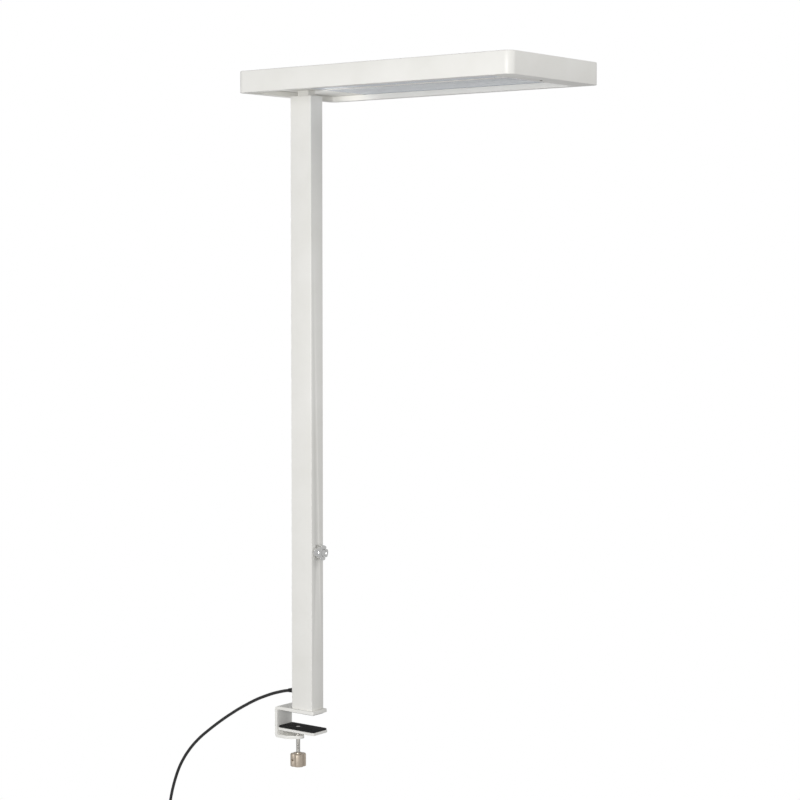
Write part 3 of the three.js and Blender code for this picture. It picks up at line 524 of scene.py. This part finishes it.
# Bushing in the column's back wall with its ribbed, tapered sleeve
glandSetup = {
    "barrel": 0.0055, "flange": 0.007, "tip": 0.0038, "rear": -0.0253, "height": 0.04,
    "sleeveEnd": (-0.0471, 0, 0.0369), "grooves": (0.3, 0.45, 0.6, 0.75, 0.9), "grooveWidth": 0.0012,
    "grooveDepth": 0.0007, "flangeThickness": 0.002, "barrelEnds": (-0.0215, -0.0262), "ease": 0.0003,
}
g = glandSetup
glandStart = (g["rear"], 0, g["height"])
sleeve = drum("glandSleeve", g["barrel"], glandStart, g["sleeveEnd"], 40, g["tip"])
cutGrooves(sleeve, glandStart, g["sleeveEnd"], g["grooves"], g["grooveWidth"], g["grooveDepth"])
flange = drum("cordGland", g["flange"], glandStart, (g["rear"] - g["flangeThickness"], 0, g["height"]), 48)
barrelFront, barrelRear = ((x, 0, g["height"]) for x in g["barrelEnds"])
combine(flange, drum("barrel", g["barrel"], barrelFront, barrelRear, 48), "UNION")
combine(flange, sleeve, "UNION")
easeEdges(flange, g["ease"], 2, 40)
finishPiece(flange, "lamp", ["cord_gland"], "black_plastic")

# Hook-and-loop tie round the coil, with its free end laid over
tieSetup = {
    "low": (-0.3758, -0.0170, -0.307), "high": (-0.3553, 0.0111, -0.295), "band": 0.0013, "corner": 0.004,
    "flap": 0.016, "flapEnds": (-0.306, -0.296), "flapSink": 0.0002, "flapProud": 0.0011, "ease": 0.0003,
}
tie = roundedBlock("cordTie", tieSetup["low"], tieSetup["high"], tieSetup["corner"], 6)
tieRoom = roundedBlock(
    "tieRoom",
    [v + tieSetup["band"] for v in tieSetup["low"][:2]] + [tieSetup["low"][2] - past],
    [v - tieSetup["band"] for v in tieSetup["high"][:2]] + [tieSetup["high"][2] + past],
    tieSetup["corner"] - tieSetup["band"],
    6,
)
combine(tie, tieRoom, "DIFFERENCE")
flapSide = tieSetup["high"][0]
flapFoot, flapTop = tieSetup["flapEnds"]
flap = block("tieFlap", (flapSide - tieSetup["flapSink"], -tieSetup["flap"] / 2, flapFoot),
             (flapSide + tieSetup["flapProud"], tieSetup["flap"] / 2, flapTop))
combine(tie, flap, "UNION")
easeEdges(tie, tieSetup["ease"], 2, 40)
finishPiece(tie, "lamp", ["cord_tie"], "black_plastic")

# Two-pin plug: a ribbed boot and a body with grip flutes and two pin holes
plugSetup = {
    "x": -0.369, "y": -0.006, "bootTop": -0.34064, "bootFoot": -0.36264, "top": -0.36294, "foot": -0.39894,
    "radius": 0.018, "belt": -0.3827, "shoulder": -0.3669, "shoulderShare": 0.72, "topShare": 0.45,
    "flutes": 10, "fluteRadius": 0.0022, "fluteProud": 0.0014, "fluteEnds": (-0.392, -0.37),
    "pinReach": 0.0095, "pinHole": 0.0027, "pinDepth": 0.006, "ease": 0.0006,
}
bootSetup = {
    "foot": 0.0055, "tip": 0.0038, "bore": 0.003, "boreDepth": 0.021, "grooves": (0.15, 0.35, 0.55, 0.75),
    "grooveWidth": 0.0014, "grooveDepth": 0.0008, "ease": 0.0003,
}
p = plugSetup
plugX, plugY = p["x"], p["y"]
bootEnds = ((plugX, plugY, p["bootFoot"]), (plugX, plugY, p["bootTop"]))
boot = drum("plugBoot", bootSetup["foot"], *bootEnds, 40, bootSetup["tip"])
cutGrooves(boot, *bootEnds, bootSetup["grooves"], bootSetup["grooveWidth"], bootSetup["grooveDepth"])
combine(boot, drum("bootBore", bootSetup["bore"], (plugX, plugY, p["bootTop"] - bootSetup["boreDepth"]),
                   (plugX, plugY, p["bootTop"] + past), 32), "DIFFERENCE")
easeEdges(boot, bootSetup["ease"], 2, 40)
finishPiece(boot, "lamp", ["plug_boot"], "black_plastic")

plugBody = drum("plugBody", p["radius"], (plugX, plugY, p["foot"]), (plugX, plugY, p["top"]), 64)
openEdit(plugBody, "FACE")
for height in (p["belt"], p["shoulder"]):
    bpy.ops.mesh.select_all(action="SELECT")
    bpy.ops.mesh.bisect(plane_co=(0, 0, height), plane_no=(0, 0, 1))
closeEdit()
for height, share in ((p["shoulder"], p["shoulderShare"]), (p["top"], p["topShare"])):
    openEdit(plugBody, "EDGE")
    chooseEdges(plugBody, lambda a, b: near(a.z, height) and near(b.z, height))
    bpy.ops.transform.resize(value=(share, share, 1), center_override=(plugX, plugY, height))
    closeEdit()
for number in range(p["flutes"]):
    angle = 2 * math.pi * (number + 0.5) / p["flutes"]
    reach = p["radius"] + p["fluteProud"]
    x, y = plugX + reach * math.cos(angle), plugY + reach * math.sin(angle)
    fluteFoot, fluteTop = ((x, y, z) for z in p["fluteEnds"])
    combine(plugBody, drum("flute", p["fluteRadius"], fluteFoot, fluteTop, 16), "DIFFERENCE")
for side in (-1, 1):
    x = plugX + side * p["pinReach"]
    combine(plugBody, drum("pinHole", p["pinHole"], (x, plugY, p["foot"] - past),
                           (x, plugY, p["foot"] + p["pinDepth"]), 24), "DIFFERENCE")
easeEdges(plugBody, p["ease"], 2, 25)
finishPiece(plugBody, "lamp", ["plug_body"], "black_plastic")

print("mains lead laid")

# Clamp bracket, bent from one flat bar
bracketSetup = {
    "back": -0.064, "wall": 0.006, "half": 0.0215, "top": 0.008, "foot": -0.052, "reach": 0.031,
    "taperFrom": -0.036, "taperTo": -0.01774, "taperShare": 0.448, "bend": 0.008, "corner": 0.003,
    "innerBend": 0.002, "screwX": -0.024, "nose": 0.0115, "bushHole": 0.0073, "bolts": (-0.0135, 0.0135),
    "boltHole": 0.0033, "boltEnds": (0, 0.009), "sink": 0.0073, "sinkTip": 0.003, "sinkEnds": (0.001, 0.0053),
    "ease": 0.0007,
}
b = bracketSetup
inner = b["back"] + b["wall"]
upperSeat = b["top"] - b["wall"]
lowerTop = b["foot"] + b["wall"]
bracket = block("clampBracket", (b["back"], -b["half"], b["foot"]), (inner, b["half"], b["top"]))
openEdit(bracket, "FACE")
for height in (upperSeat, lowerTop):
    bpy.ops.mesh.select_all(action="SELECT")
    bpy.ops.mesh.bisect(plane_co=(0, 0, height), plane_no=(0, 0, 1))
chooseFaces(bracket, lambda middle, normal: normal.x > 0.9 and middle.z > upperSeat)
bpy.ops.mesh.extrude_region_move(TRANSFORM_OT_translate={"value": (b["reach"] - inner, 0, 0)})
chooseFaces(bracket, lambda middle, normal: normal.x > 0.9 and middle.z < lowerTop)
bpy.ops.mesh.extrude_region_move(TRANSFORM_OT_translate={"value": (b["taperFrom"] - inner, 0, 0)})
bpy.ops.mesh.extrude_region_move(TRANSFORM_OT_translate={"value": (b["taperTo"] - b["taperFrom"], 0, 0)})
bpy.ops.transform.resize(value=(1, b["taperShare"], 1), center_override=(b["taperTo"], 0, lowerTop))
closeEdit()
bevelChosen(bracket, lambda p, q: near(p.x, b["back"]) and near(q.x, b["back"]) and near(p.z, q.z)
            and (near(p.z, b["top"]) or near(p.z, b["foot"])), b["bend"], 8)
bevelChosen(bracket, lambda p, q: near(p.x, inner) and near(q.x, inner) and near(p.z, q.z)
            and (near(p.z, upperSeat) or near(p.z, lowerTop)), b["innerBend"], 5)
bevelChosen(bracket, lambda p, q: upright(p, q) and near(p.x, b["reach"]), b["corner"], 5)
noseFoot, noseTop = ((b["screwX"], 0, height) for height in (b["foot"], lowerTop))
combine(bracket, drum("nose", b["nose"], noseFoot, noseTop, 64), "UNION")
bushFoot, bushTop = ((b["screwX"], 0, height) for height in (b["foot"] - past, lowerTop + past))
combine(bracket, drum("bushHole", b["bushHole"], bushFoot, bushTop), "DIFFERENCE")
for x in b["bolts"]:
    holeFoot, holeTop = ((x, 0, height) for height in b["boltEnds"])
    combine(bracket, drum("boltHole", b["boltHole"], holeFoot, holeTop, 32), "DIFFERENCE")
    sinkFoot, sinkTop = ((x, 0, height) for height in b["sinkEnds"])
    combine(bracket, drum("sink", b["sink"], sinkFoot, sinkTop, 32, b["sinkTip"]), "DIFFERENCE")
easeEdges(bracket, b["ease"], 3, 35)
finishPiece(bracket, "lamp", ["clamp_bracket"], "white_powder")

# Pressure plate and the rubber pad glued on it
plateSetup = {
    "x": (-0.0568, 0.0322), "half": 0.0212, "z": (-0.0373, -0.0323), "corner": 0.003,
    "hole": 0.0033, "holeEnds": (-0.039, -0.031), "ease": 0.0008,
}
plate = roundedBlock("pressurePlate", (plateSetup["x"][0], -plateSetup["half"], plateSetup["z"][0]),
                     (plateSetup["x"][1], plateSetup["half"], plateSetup["z"][1]), plateSetup["corner"], 6)
holeFoot, holeTop = ((b["screwX"], 0, height) for height in plateSetup["holeEnds"])
combine(plate, drum("tenonHole", plateSetup["hole"], holeFoot, holeTop, 48), "DIFFERENCE")
easeEdges(plate, plateSetup["ease"], 3, 35)
finishPiece(plate, "clamp_plate", ["pressure_plate"], "white_powder")

padSetup = {
    "x": (-0.0561, 0.0312), "half": 0.0203, "z": (-0.032, -0.029), "corner": 0.0026,
    "well": 0.0055, "wellEnds": (-0.033, -0.028), "ease": 0.0005,
}
pad = roundedBlock("pressurePad", (padSetup["x"][0], -padSetup["half"], padSetup["z"][0]),
                   (padSetup["x"][1], padSetup["half"], padSetup["z"][1]), padSetup["corner"], 6)
wellFoot, wellTop = ((b["screwX"], 0, height) for height in padSetup["wellEnds"])
combine(pad, drum("rivetWell", padSetup["well"], wellFoot, wellTop, 48), "DIFFERENCE")
easeEdges(pad, padSetup["ease"], 3, 35)
finishPiece(pad, "clamp_plate", ["pressure_pad"], "black_rubber")

# M8 clamp spindle: a rolled thread, its tenon and the riveted head in the pad's well
spindleSetup = {
    "x": -0.024, "root": 0.00335, "crest": 0.004, "pitch": 0.00125, "foot": -0.1015, "turns": 48,
    "stepsPerTurn": 24, "mergeWithin": 0.00001, "tenon": 0.003, "tenonRoot": 0.004, "tenonLap": 0.0004,
    "rivet": 0.0045, "rivetSeat": -0.032, "rivetTop": -0.0296, "rivetRound": 0.0009,
}
s = spindleSetup
pitch = s["pitch"]
threadProfile = [(s["root"], 0), (s["root"], 0.25), (s["crest"], 0.5), (s["crest"], 0.75), (s["root"], 1)]
threadMesh = bpy.data.meshes.new("spindle")
threadCorners = [(radius, 0, share * pitch) for radius, share in threadProfile]
threadMesh.from_pydata(threadCorners, [(0, 1), (1, 2), (2, 3), (3, 4)], [])
spindle = bpy.data.objects.new("spindle_M8", threadMesh)
bpy.context.scene.collection.objects.link(spindle)
onlyThis(spindle)
winding = spindle.modifiers.new("winding", "SCREW")
winding.axis = "Z"
winding.screw_offset = pitch
winding.iterations = s["turns"]
winding.steps = winding.render_steps = s["stepsPerTurn"]
winding.use_merge_vertices = True
winding.merge_threshold = s["mergeWithin"]
bpy.ops.object.modifier_apply(modifier=winding.name)
spindle.location = (s["x"], 0, s["foot"])
bpy.ops.object.transform_apply(location=True, rotation=True, scale=True)
openEdit(spindle, "EDGE")
bpy.ops.mesh.select_all(action="SELECT")
bpy.ops.mesh.remove_doubles(threshold=s["mergeWithin"])
bpy.ops.mesh.select_all(action="DESELECT")
bpy.ops.mesh.select_non_manifold()
bpy.ops.mesh.fill(use_beauty=False)
bpy.ops.mesh.select_all(action="SELECT")
bpy.ops.mesh.normals_make_consistent(inside=False)
closeEdit()
threadTop = s["foot"] + (s["turns"] + 0.5) * pitch
tenon = drum("tenon", s["tenon"], (s["x"], 0, threadTop - s["tenonRoot"]),
             (s["x"], 0, s["rivetSeat"] + s["tenonLap"]), 48)
combine(spindle, tenon, "UNION")
rivet = drum("rivetHead", s["rivet"], (s["x"], 0, s["rivetSeat"]), (s["x"], 0, s["rivetTop"]), 48)
bevelChosen(rivet, lambda p, q: near(p.z, s["rivetTop"]) and near(q.z, s["rivetTop"]), s["rivetRound"], 5)
combine(spindle, rivet, "UNION")
finishPiece(spindle, "clamp_screw", ["spindle"], "bright_steel", 40)

# Star knob at the spindle's foot, die cast with four scoops
knobSetup = {
    "x": -0.024, "radius": 0.015, "top": -0.082, "foot": -0.106, "scoop": 0.0058, "depth": 0.0117,
    "firstScoop": 95, "edge": 0.0016, "ease": 0.0006, "collar": 0.0075, "collarTip": 0.0068,
    "collarSink": 0.003, "collarTop": -0.08, "bore": 0.0043, "boreFloor": 0.003, "boreTop": -0.079,
    "pinTurn": 77, "pinHeight": -0.093, "pinHole": 0.0018, "pinReach": 0.02,
}
k = knobSetup
knob = drum("handKnob", k["radius"], (k["x"], 0, k["foot"]), (k["x"], 0, k["top"]), 96)
bevelChosen(knob, lambda p, q: near(p.z, q.z) and (near(p.z, k["top"]) or near(p.z, k["foot"])), k["edge"], 4)
for quarter in range(4):
    angle = math.radians(k["firstScoop"] + 90 * quarter)
    away = k["depth"] + k["scoop"]
    x, y = k["x"] + away * math.cos(angle), away * math.sin(angle)
    scoopFoot, scoopTop = ((x, y, height) for height in (k["foot"] - past, k["top"] + past))
    combine(knob, drum("scoop", k["scoop"], scoopFoot, scoopTop, 64), "DIFFERENCE")
collarFoot, collarTop = ((k["x"], 0, height) for height in (k["top"] - k["collarSink"], k["collarTop"]))
combine(knob, drum("collar", k["collar"], collarFoot, collarTop, 64, k["collarTip"]), "UNION")
boreFoot, boreTop = ((k["x"], 0, height) for height in (k["foot"] + k["boreFloor"], k["boreTop"]))
combine(knob, drum("bore", k["bore"], boreFoot, boreTop, 48), "DIFFERENCE")
angle = math.radians(k["pinTurn"])
reach = (k["pinReach"] * math.cos(angle), k["pinReach"] * math.sin(angle))
combine(knob, drum("pinHole", k["pinHole"], (k["x"] - reach[0], -reach[1], k["pinHeight"]),
                   (k["x"] + reach[0], reach[1], k["pinHeight"]), 24), "DIFFERENCE")
easeEdges(knob, k["ease"], 3, 28)
finishPiece(knob, "clamp_screw", ["hand_knob"], "hand_knob_metal", 40)
print("clamp made")

# Column: a rectangular tube with its dial and lead holes
columnSetup = {
    "half": (0.025, 0.0175), "foot": 0.0083, "top": 1.17, "corner": 0.0018, "wall": 0.002,
    "dialHeight": 0.3095, "dialHole": 0.0048, "dialWall": (0.02, 0.027), "leadHeight": 0.04,
    "leadHole": 0.0058, "leadWall": (-0.027, -0.02), "ease": 0.0003,
}
c = columnSetup
column = roundedBlock("columnTube", (-c["half"][0], -c["half"][1], c["foot"]),
                      (c["half"][0], c["half"][1], c["top"]), c["corner"], 5)
openEdit(column, "FACE")
chooseFaces(column, lambda middle, normal: abs(normal.z) > 0.9)
bpy.ops.mesh.delete(type="FACE")
closeEdit()
hollow(column, c["wall"])
for name, hole, wall, height in (
    ("dialHole", c["dialHole"], c["dialWall"], c["dialHeight"]),
    ("leadHole", c["leadHole"], c["leadWall"], c["leadHeight"]),
):
    combine(column, drum(name, hole, (wall[0], 0, height), (wall[1], 0, height), 48), "DIFFERENCE")
easeEdges(column, c["ease"], 2, 50)
finishPiece(column, "lamp", ["column_tube"], "white_powder")

# Dimmer dial: a chrome-plated push knob with four lobes and a shallow dished front
dialSetup = {
    "height": 0.3095, "radius": 0.0145, "back": 0.0266, "front": 0.0406, "scoop": 0.0036, "valley": 0.0100,
    "firstScoop": 36, "frontEdge": 0.0022, "backEdge": 0.0008, "ease": 0.0005,
    "nutWell": 0.0075, "nutEnds": (0.025, 0.0298), "shaftBore": 0.0033, "shaftEnds": (0.0266, 0.0359),
    "dish": 0.0067, "dishFlare": 0.0012, "dishEnds": (0.0386, 0.0416),
    "screwHole": 0.0018, "screwX": 0.0351, "screwEnds": (0.0005, -0.0156),
}
d = dialSetup
dial = drum("dialKnob", d["radius"], (d["back"], 0, d["height"]), (d["front"], 0, d["height"]), 96)
bevelChosen(dial, lambda p, q: near(p.x, d["front"]) and near(q.x, d["front"]), d["frontEdge"], 6)
bevelChosen(dial, lambda p, q: near(p.x, d["back"]) and near(q.x, d["back"]), d["backEdge"], 3)
for quarter in range(4):
    angle = math.radians(d["firstScoop"] + 90 * quarter)
    away = d["valley"] + d["scoop"]
    y, z = away * math.sin(angle), d["height"] - away * math.cos(angle)
    scoopBack, scoopFront = ((x, y, z) for x in (d["back"] - past, d["front"] + past))
    combine(dial, drum("scoop", d["scoop"], scoopBack, scoopFront, 64), "DIFFERENCE")
for name, radius, ends, sides, frontRadius in (
    ("nutWell", d["nutWell"], d["nutEnds"], 48, None),
    ("shaftBore", d["shaftBore"], d["shaftEnds"], 48, None),
    ("dish", d["dish"], d["dishEnds"], 64, d["dish"] + d["dishFlare"]),
):
    back, front = ((x, 0, d["height"]) for x in ends)
    combine(dial, drum(name, radius, back, front, sides, frontRadius), "DIFFERENCE")
screwStart, screwEnd = ((d["screwX"], 0, d["height"] + z) for z in d["screwEnds"])
combine(dial, drum("screwHole", d["screwHole"], screwStart, screwEnd, 24), "DIFFERENCE")
easeEdges(dial, d["ease"], 3, 28)
finishPiece(dial, "dial_knob", ["dial_knob"], "dial_chrome", 40)
print("column and dial made")

# Lighting head: a shell with rounded corners, open below, with the uplight window above
headSetup = {
    "low": (-0.05, -0.139, 1.17), "high": (0.562, 0.139, 1.21), "corner": 0.015, "topEdge": 0.0022,
    "wall": 0.002, "ease": 0.0005, "windowCorner": 0.006,
    "windowLow": (0.085, -0.107, 1.205), "windowHigh": (0.53, 0.107, 1.215),
}
h = headSetup
head = roundedBlock("headHousing", h["low"], h["high"], h["corner"], 12)
bevelChosen(head, lambda p, q: near(p.z, h["high"][2]) and near(q.z, h["high"][2]), h["topEdge"], 4)
openEdit(head, "FACE")
chooseFaces(head, lambda middle, normal: normal.z < -0.9)
bpy.ops.mesh.delete(type="FACE")
closeEdit()
hollow(head, h["wall"])
windowCutter = roundedBlock("window", h["windowLow"], h["windowHigh"], h["windowCorner"], 6)
combine(head, windowCutter, "DIFFERENCE")
easeEdges(head, h["ease"], 2, 50)
finishPiece(head, "lamp", ["head_housing"], "white_powder")

# Border of the light opening: a flange with an upright round the opening, and the sensor's hole
rimSetup = {
    "flangeLow": (-0.0477, -0.1367, 1.17), "flangeHigh": (0.5597, 0.1367, 1.172), "flangeCorner": 0.0127,
    "uprightLow": (-0.037, -0.126, 1.17), "uprightHigh": (0.517, 0.126, 1.18), "uprightCorner": 0.008,
    "openingLow": (-0.035, -0.124, 1.169), "openingHigh": (0.515, 0.124, 1.182), "openingCorner": 0.006,
    "sensorX": 0.53, "sensorHole": 0.0035, "sensorEnds": (1.169, 1.173), "ease": 0.0006,
}
r = rimSetup
rim = roundedBlock("headRim", r["flangeLow"], r["flangeHigh"], r["flangeCorner"], 12)
rimUpright = roundedBlock("upright", r["uprightLow"], r["uprightHigh"], r["uprightCorner"], 8)
combine(rim, rimUpright, "UNION")
rimOpening = roundedBlock("opening", r["openingLow"], r["openingHigh"], r["openingCorner"], 8)
combine(rim, rimOpening, "DIFFERENCE")
sensorFoot, sensorTop = ((r["sensorX"], 0, height) for height in r["sensorEnds"])
combine(rim, drum("sensorHole", r["sensorHole"], sensorFoot, sensorTop, 32), "DIFFERENCE")
easeEdges(rim, r["ease"], 3, 40)
finishPiece(rim, "lamp", ["head_rim"], "white_powder")

# Prismatic panels: the sheet's own margin is plain and its field of prisms lies a little deeper
panelSetup = {
    "low": (0.0383, -0.132, 1.1803), "high": (0.523, -0.0033, 1.1833), "margin": 0.009,
    "fieldDepth": 0.0004, "ease": 0.0003,
}


def opticPanel(name, side, stands):
    p = panelSetup
    panel = block(name, p["low"], p["high"])
    openEdit(panel, "FACE")
    chooseFaces(panel, lambda middle, normal: normal.z < -0.9)
    bpy.ops.mesh.inset(thickness=p["margin"], depth=0)
    bpy.ops.mesh.inset(thickness=p["fieldDepth"], depth=-p["fieldDepth"])
    closeEdit()
    if side > 0:
        openEdit(panel, "FACE")
        bpy.ops.mesh.select_all(action="SELECT")
        bpy.ops.transform.resize(value=(1, -1, 1), center_override=(0, 0, 0))
        bpy.ops.mesh.normals_make_consistent(inside=False)
        closeEdit()
    easeEdges(panel, p["ease"], 2, 35)
    return finishPiece(panel, "lamp", stands, "clear_optic")


opticPanel("opticPanelRight", -1, ["optic_panel_right"])
opticPanel("opticPanelLeft", 1, ["optic_panel_left"])

# Rib over the joint between the panels
ribSetup = {"low": (0.0383, -0.003, 1.1791), "high": (0.5147, 0.003, 1.1833), "edge": 0.0011}
rib = block("centreRib", ribSetup["low"], ribSetup["high"])
ribFoot = ribSetup["low"][2]
bevelChosen(rib, lambda p, q: near(p.z, ribFoot) and near(q.z, ribFoot) and near(p.y, q.y),
            ribSetup["edge"], 4)
finishPiece(rib, "lamp", ["centre_rib"], "white_powder")

# Opal cover under the uplight window, with a stiffening frame moulded round its field
coverSetup = {
    "low": (0.077, -0.115, 1.2047), "high": (0.538, 0.115, 1.2077), "corner": 0.006, "frame": 0.005,
    "fieldDepth": 0.0006, "ease": 0.0003,
}
cover = roundedBlock("uplightCover", coverSetup["low"], coverSetup["high"], coverSetup["corner"], 6)
openEdit(cover, "FACE")
chooseFaces(cover, lambda middle, normal: normal.z > 0.9)
bpy.ops.mesh.inset(thickness=coverSetup["frame"], depth=0)
bpy.ops.mesh.inset(thickness=coverSetup["fieldDepth"], depth=-coverSetup["fieldDepth"])
closeEdit()
easeEdges(cover, coverSetup["ease"], 2, 35)
finishPiece(cover, "lamp", ["uplight_cover"], "opal_plastic")
print("head made")

# CAD nodes whose shape is right keep it and take their finish
keptNodes = {
    "black_rubber": ["arm_pad"],
    "bright_steel": ["base_bolt_1", "base_bolt_2", "spindle_bush", "thrust_washer", "cross_pin",
                     "encoder_nut", "dial_screw", "neck_screw_1", "neck_screw_2", "neck_screw_3",
                     "neck_screw_4"],
    "plain_aluminium": ["column_foot", "encoder_body", "dial_shaft", "carrier_plate"],
    "black_plastic": ["encoder_rotor", "sensor_lens", "sensor_board"],
    "dial_chrome": ["dial_cap"],
    "white_powder": ["rear_blank", "head_neck"],
    "clear_optic": ["light_guide_right", "light_guide_left"],
    "white_plastic": ["led_strip_right", "led_strip_left", "reflector_sheet", "uplight_board_right",
                      "uplight_board_left", "driver_box", "terminal_block", "inner_lead"],
    "pin_brass": ["plug_pin_1", "plug_pin_2"],
}
for slotName, names in keptNodes.items():
    for name in names:
        for materialSlot in nodes[name].material_slots:
            materialSlot.material = finishOfSlot[slotName]

# Room: pale floor and backdrop, a large soft light on the column's broad side, a weaker one on its dial side
studio = {
    "floorZ": -0.42, "floorSize": 60, "floorColour": "#FFFFFF",
    "floorGlow": 0.40, "fill": 0.36, "shine": 0.55,
    "key": {"place": (1.3, -3.4, 0.85), "size": 1.7, "power": 78},
    "side": {"place": (1.7, 0.5, 1.9), "size": 1.2, "power": 7},
    "aim": (0.1, 0, 0.6),
}
bpy.ops.object.select_all(action="DESELECT")
bpy.ops.mesh.primitive_plane_add(size=studio["floorSize"], location=(0, 0, studio["floorZ"]))
floor = bpy.context.object
floor.name = "floor"
floorPaint = bpy.data.materials.new("paleFloor")
floorPaint.use_nodes = True
floorPaint.node_tree.nodes.clear()
world = bpy.data.worlds.new("studioWorld")
bpy.context.scene.world = world
world.use_nodes = True
world.node_tree.nodes.clear()
# floor and backdrop look white to the camera and light the lamp more softly than that
for room, kind, output, glow in (
    (floorPaint, "ShaderNodeEmission", "ShaderNodeOutputMaterial", studio["floorGlow"]),
    (world, "ShaderNodeBackground", "ShaderNodeOutputWorld", studio["fill"]),
):
    seen = addNode(room, "ShaderNodeLightPath")
    soft = addNode(room, "ShaderNodeMapRange", {"To Min": glow, "To Max": studio["shine"]},
                   {"Value": (seen, "Is Glossy Ray")})
    strength = addNode(room, "ShaderNodeMapRange", {"To Max": 1.0},
                       {"Value": (seen, "Is Camera Ray"), "To Min": (soft, "Result")})
    shine = addNode(room, kind, {"Color": linear(studio["floorColour"])}, {"Strength": (strength, "Result")})
    addNode(room, output, {}, {"Surface": (shine, 0)})
floor.data.materials.append(floorPaint)

for name in ("key", "side"):
    setup = studio[name]
    bpy.ops.object.light_add(type="AREA", location=setup["place"])
    light = bpy.context.object
    light.name = name + "Light"
    light.data.shape = "DISK"
    light.data.size = setup["size"]
    light.data.energy = setup["power"]
    light.visible_camera = False
    light.rotation_euler = (Vector(studio["aim"]) - light.location).to_track_quat("-Z", "Y").to_euler()
bpy.context.scene.view_settings.view_transform = "Standard"

# two narrow lights from below: one for the far wall of the light opening, one for its rear end
spotEdge = {"blend": 0.9, "softRadius": 0.02}
studioSpots = [
    {"place": (0.35, -0.5, 1.0), "aim": (0.01, 0.124, 1.176), "power": 6.5, "cone": 10},
    {"place": (-0.3, 0.35, 0.8), "aim": (0.03, -0.04, 1.18), "power": 3, "cone": 20},
]
for spot in studioSpots:
    bpy.ops.object.light_add(type="SPOT", location=spot["place"])
    beam = bpy.context.object
    beam.data.energy = spot["power"]
    beam.data.spot_size = math.radians(spot["cone"])
    beam.data.spot_blend = spotEdge["blend"]
    beam.data.shadow_soft_size = spotEdge["softRadius"]
    beam.rotation_euler = (Vector(spot["aim"]) - beam.location).to_track_quat("-Z", "Y").to_euler()
print("room lit")
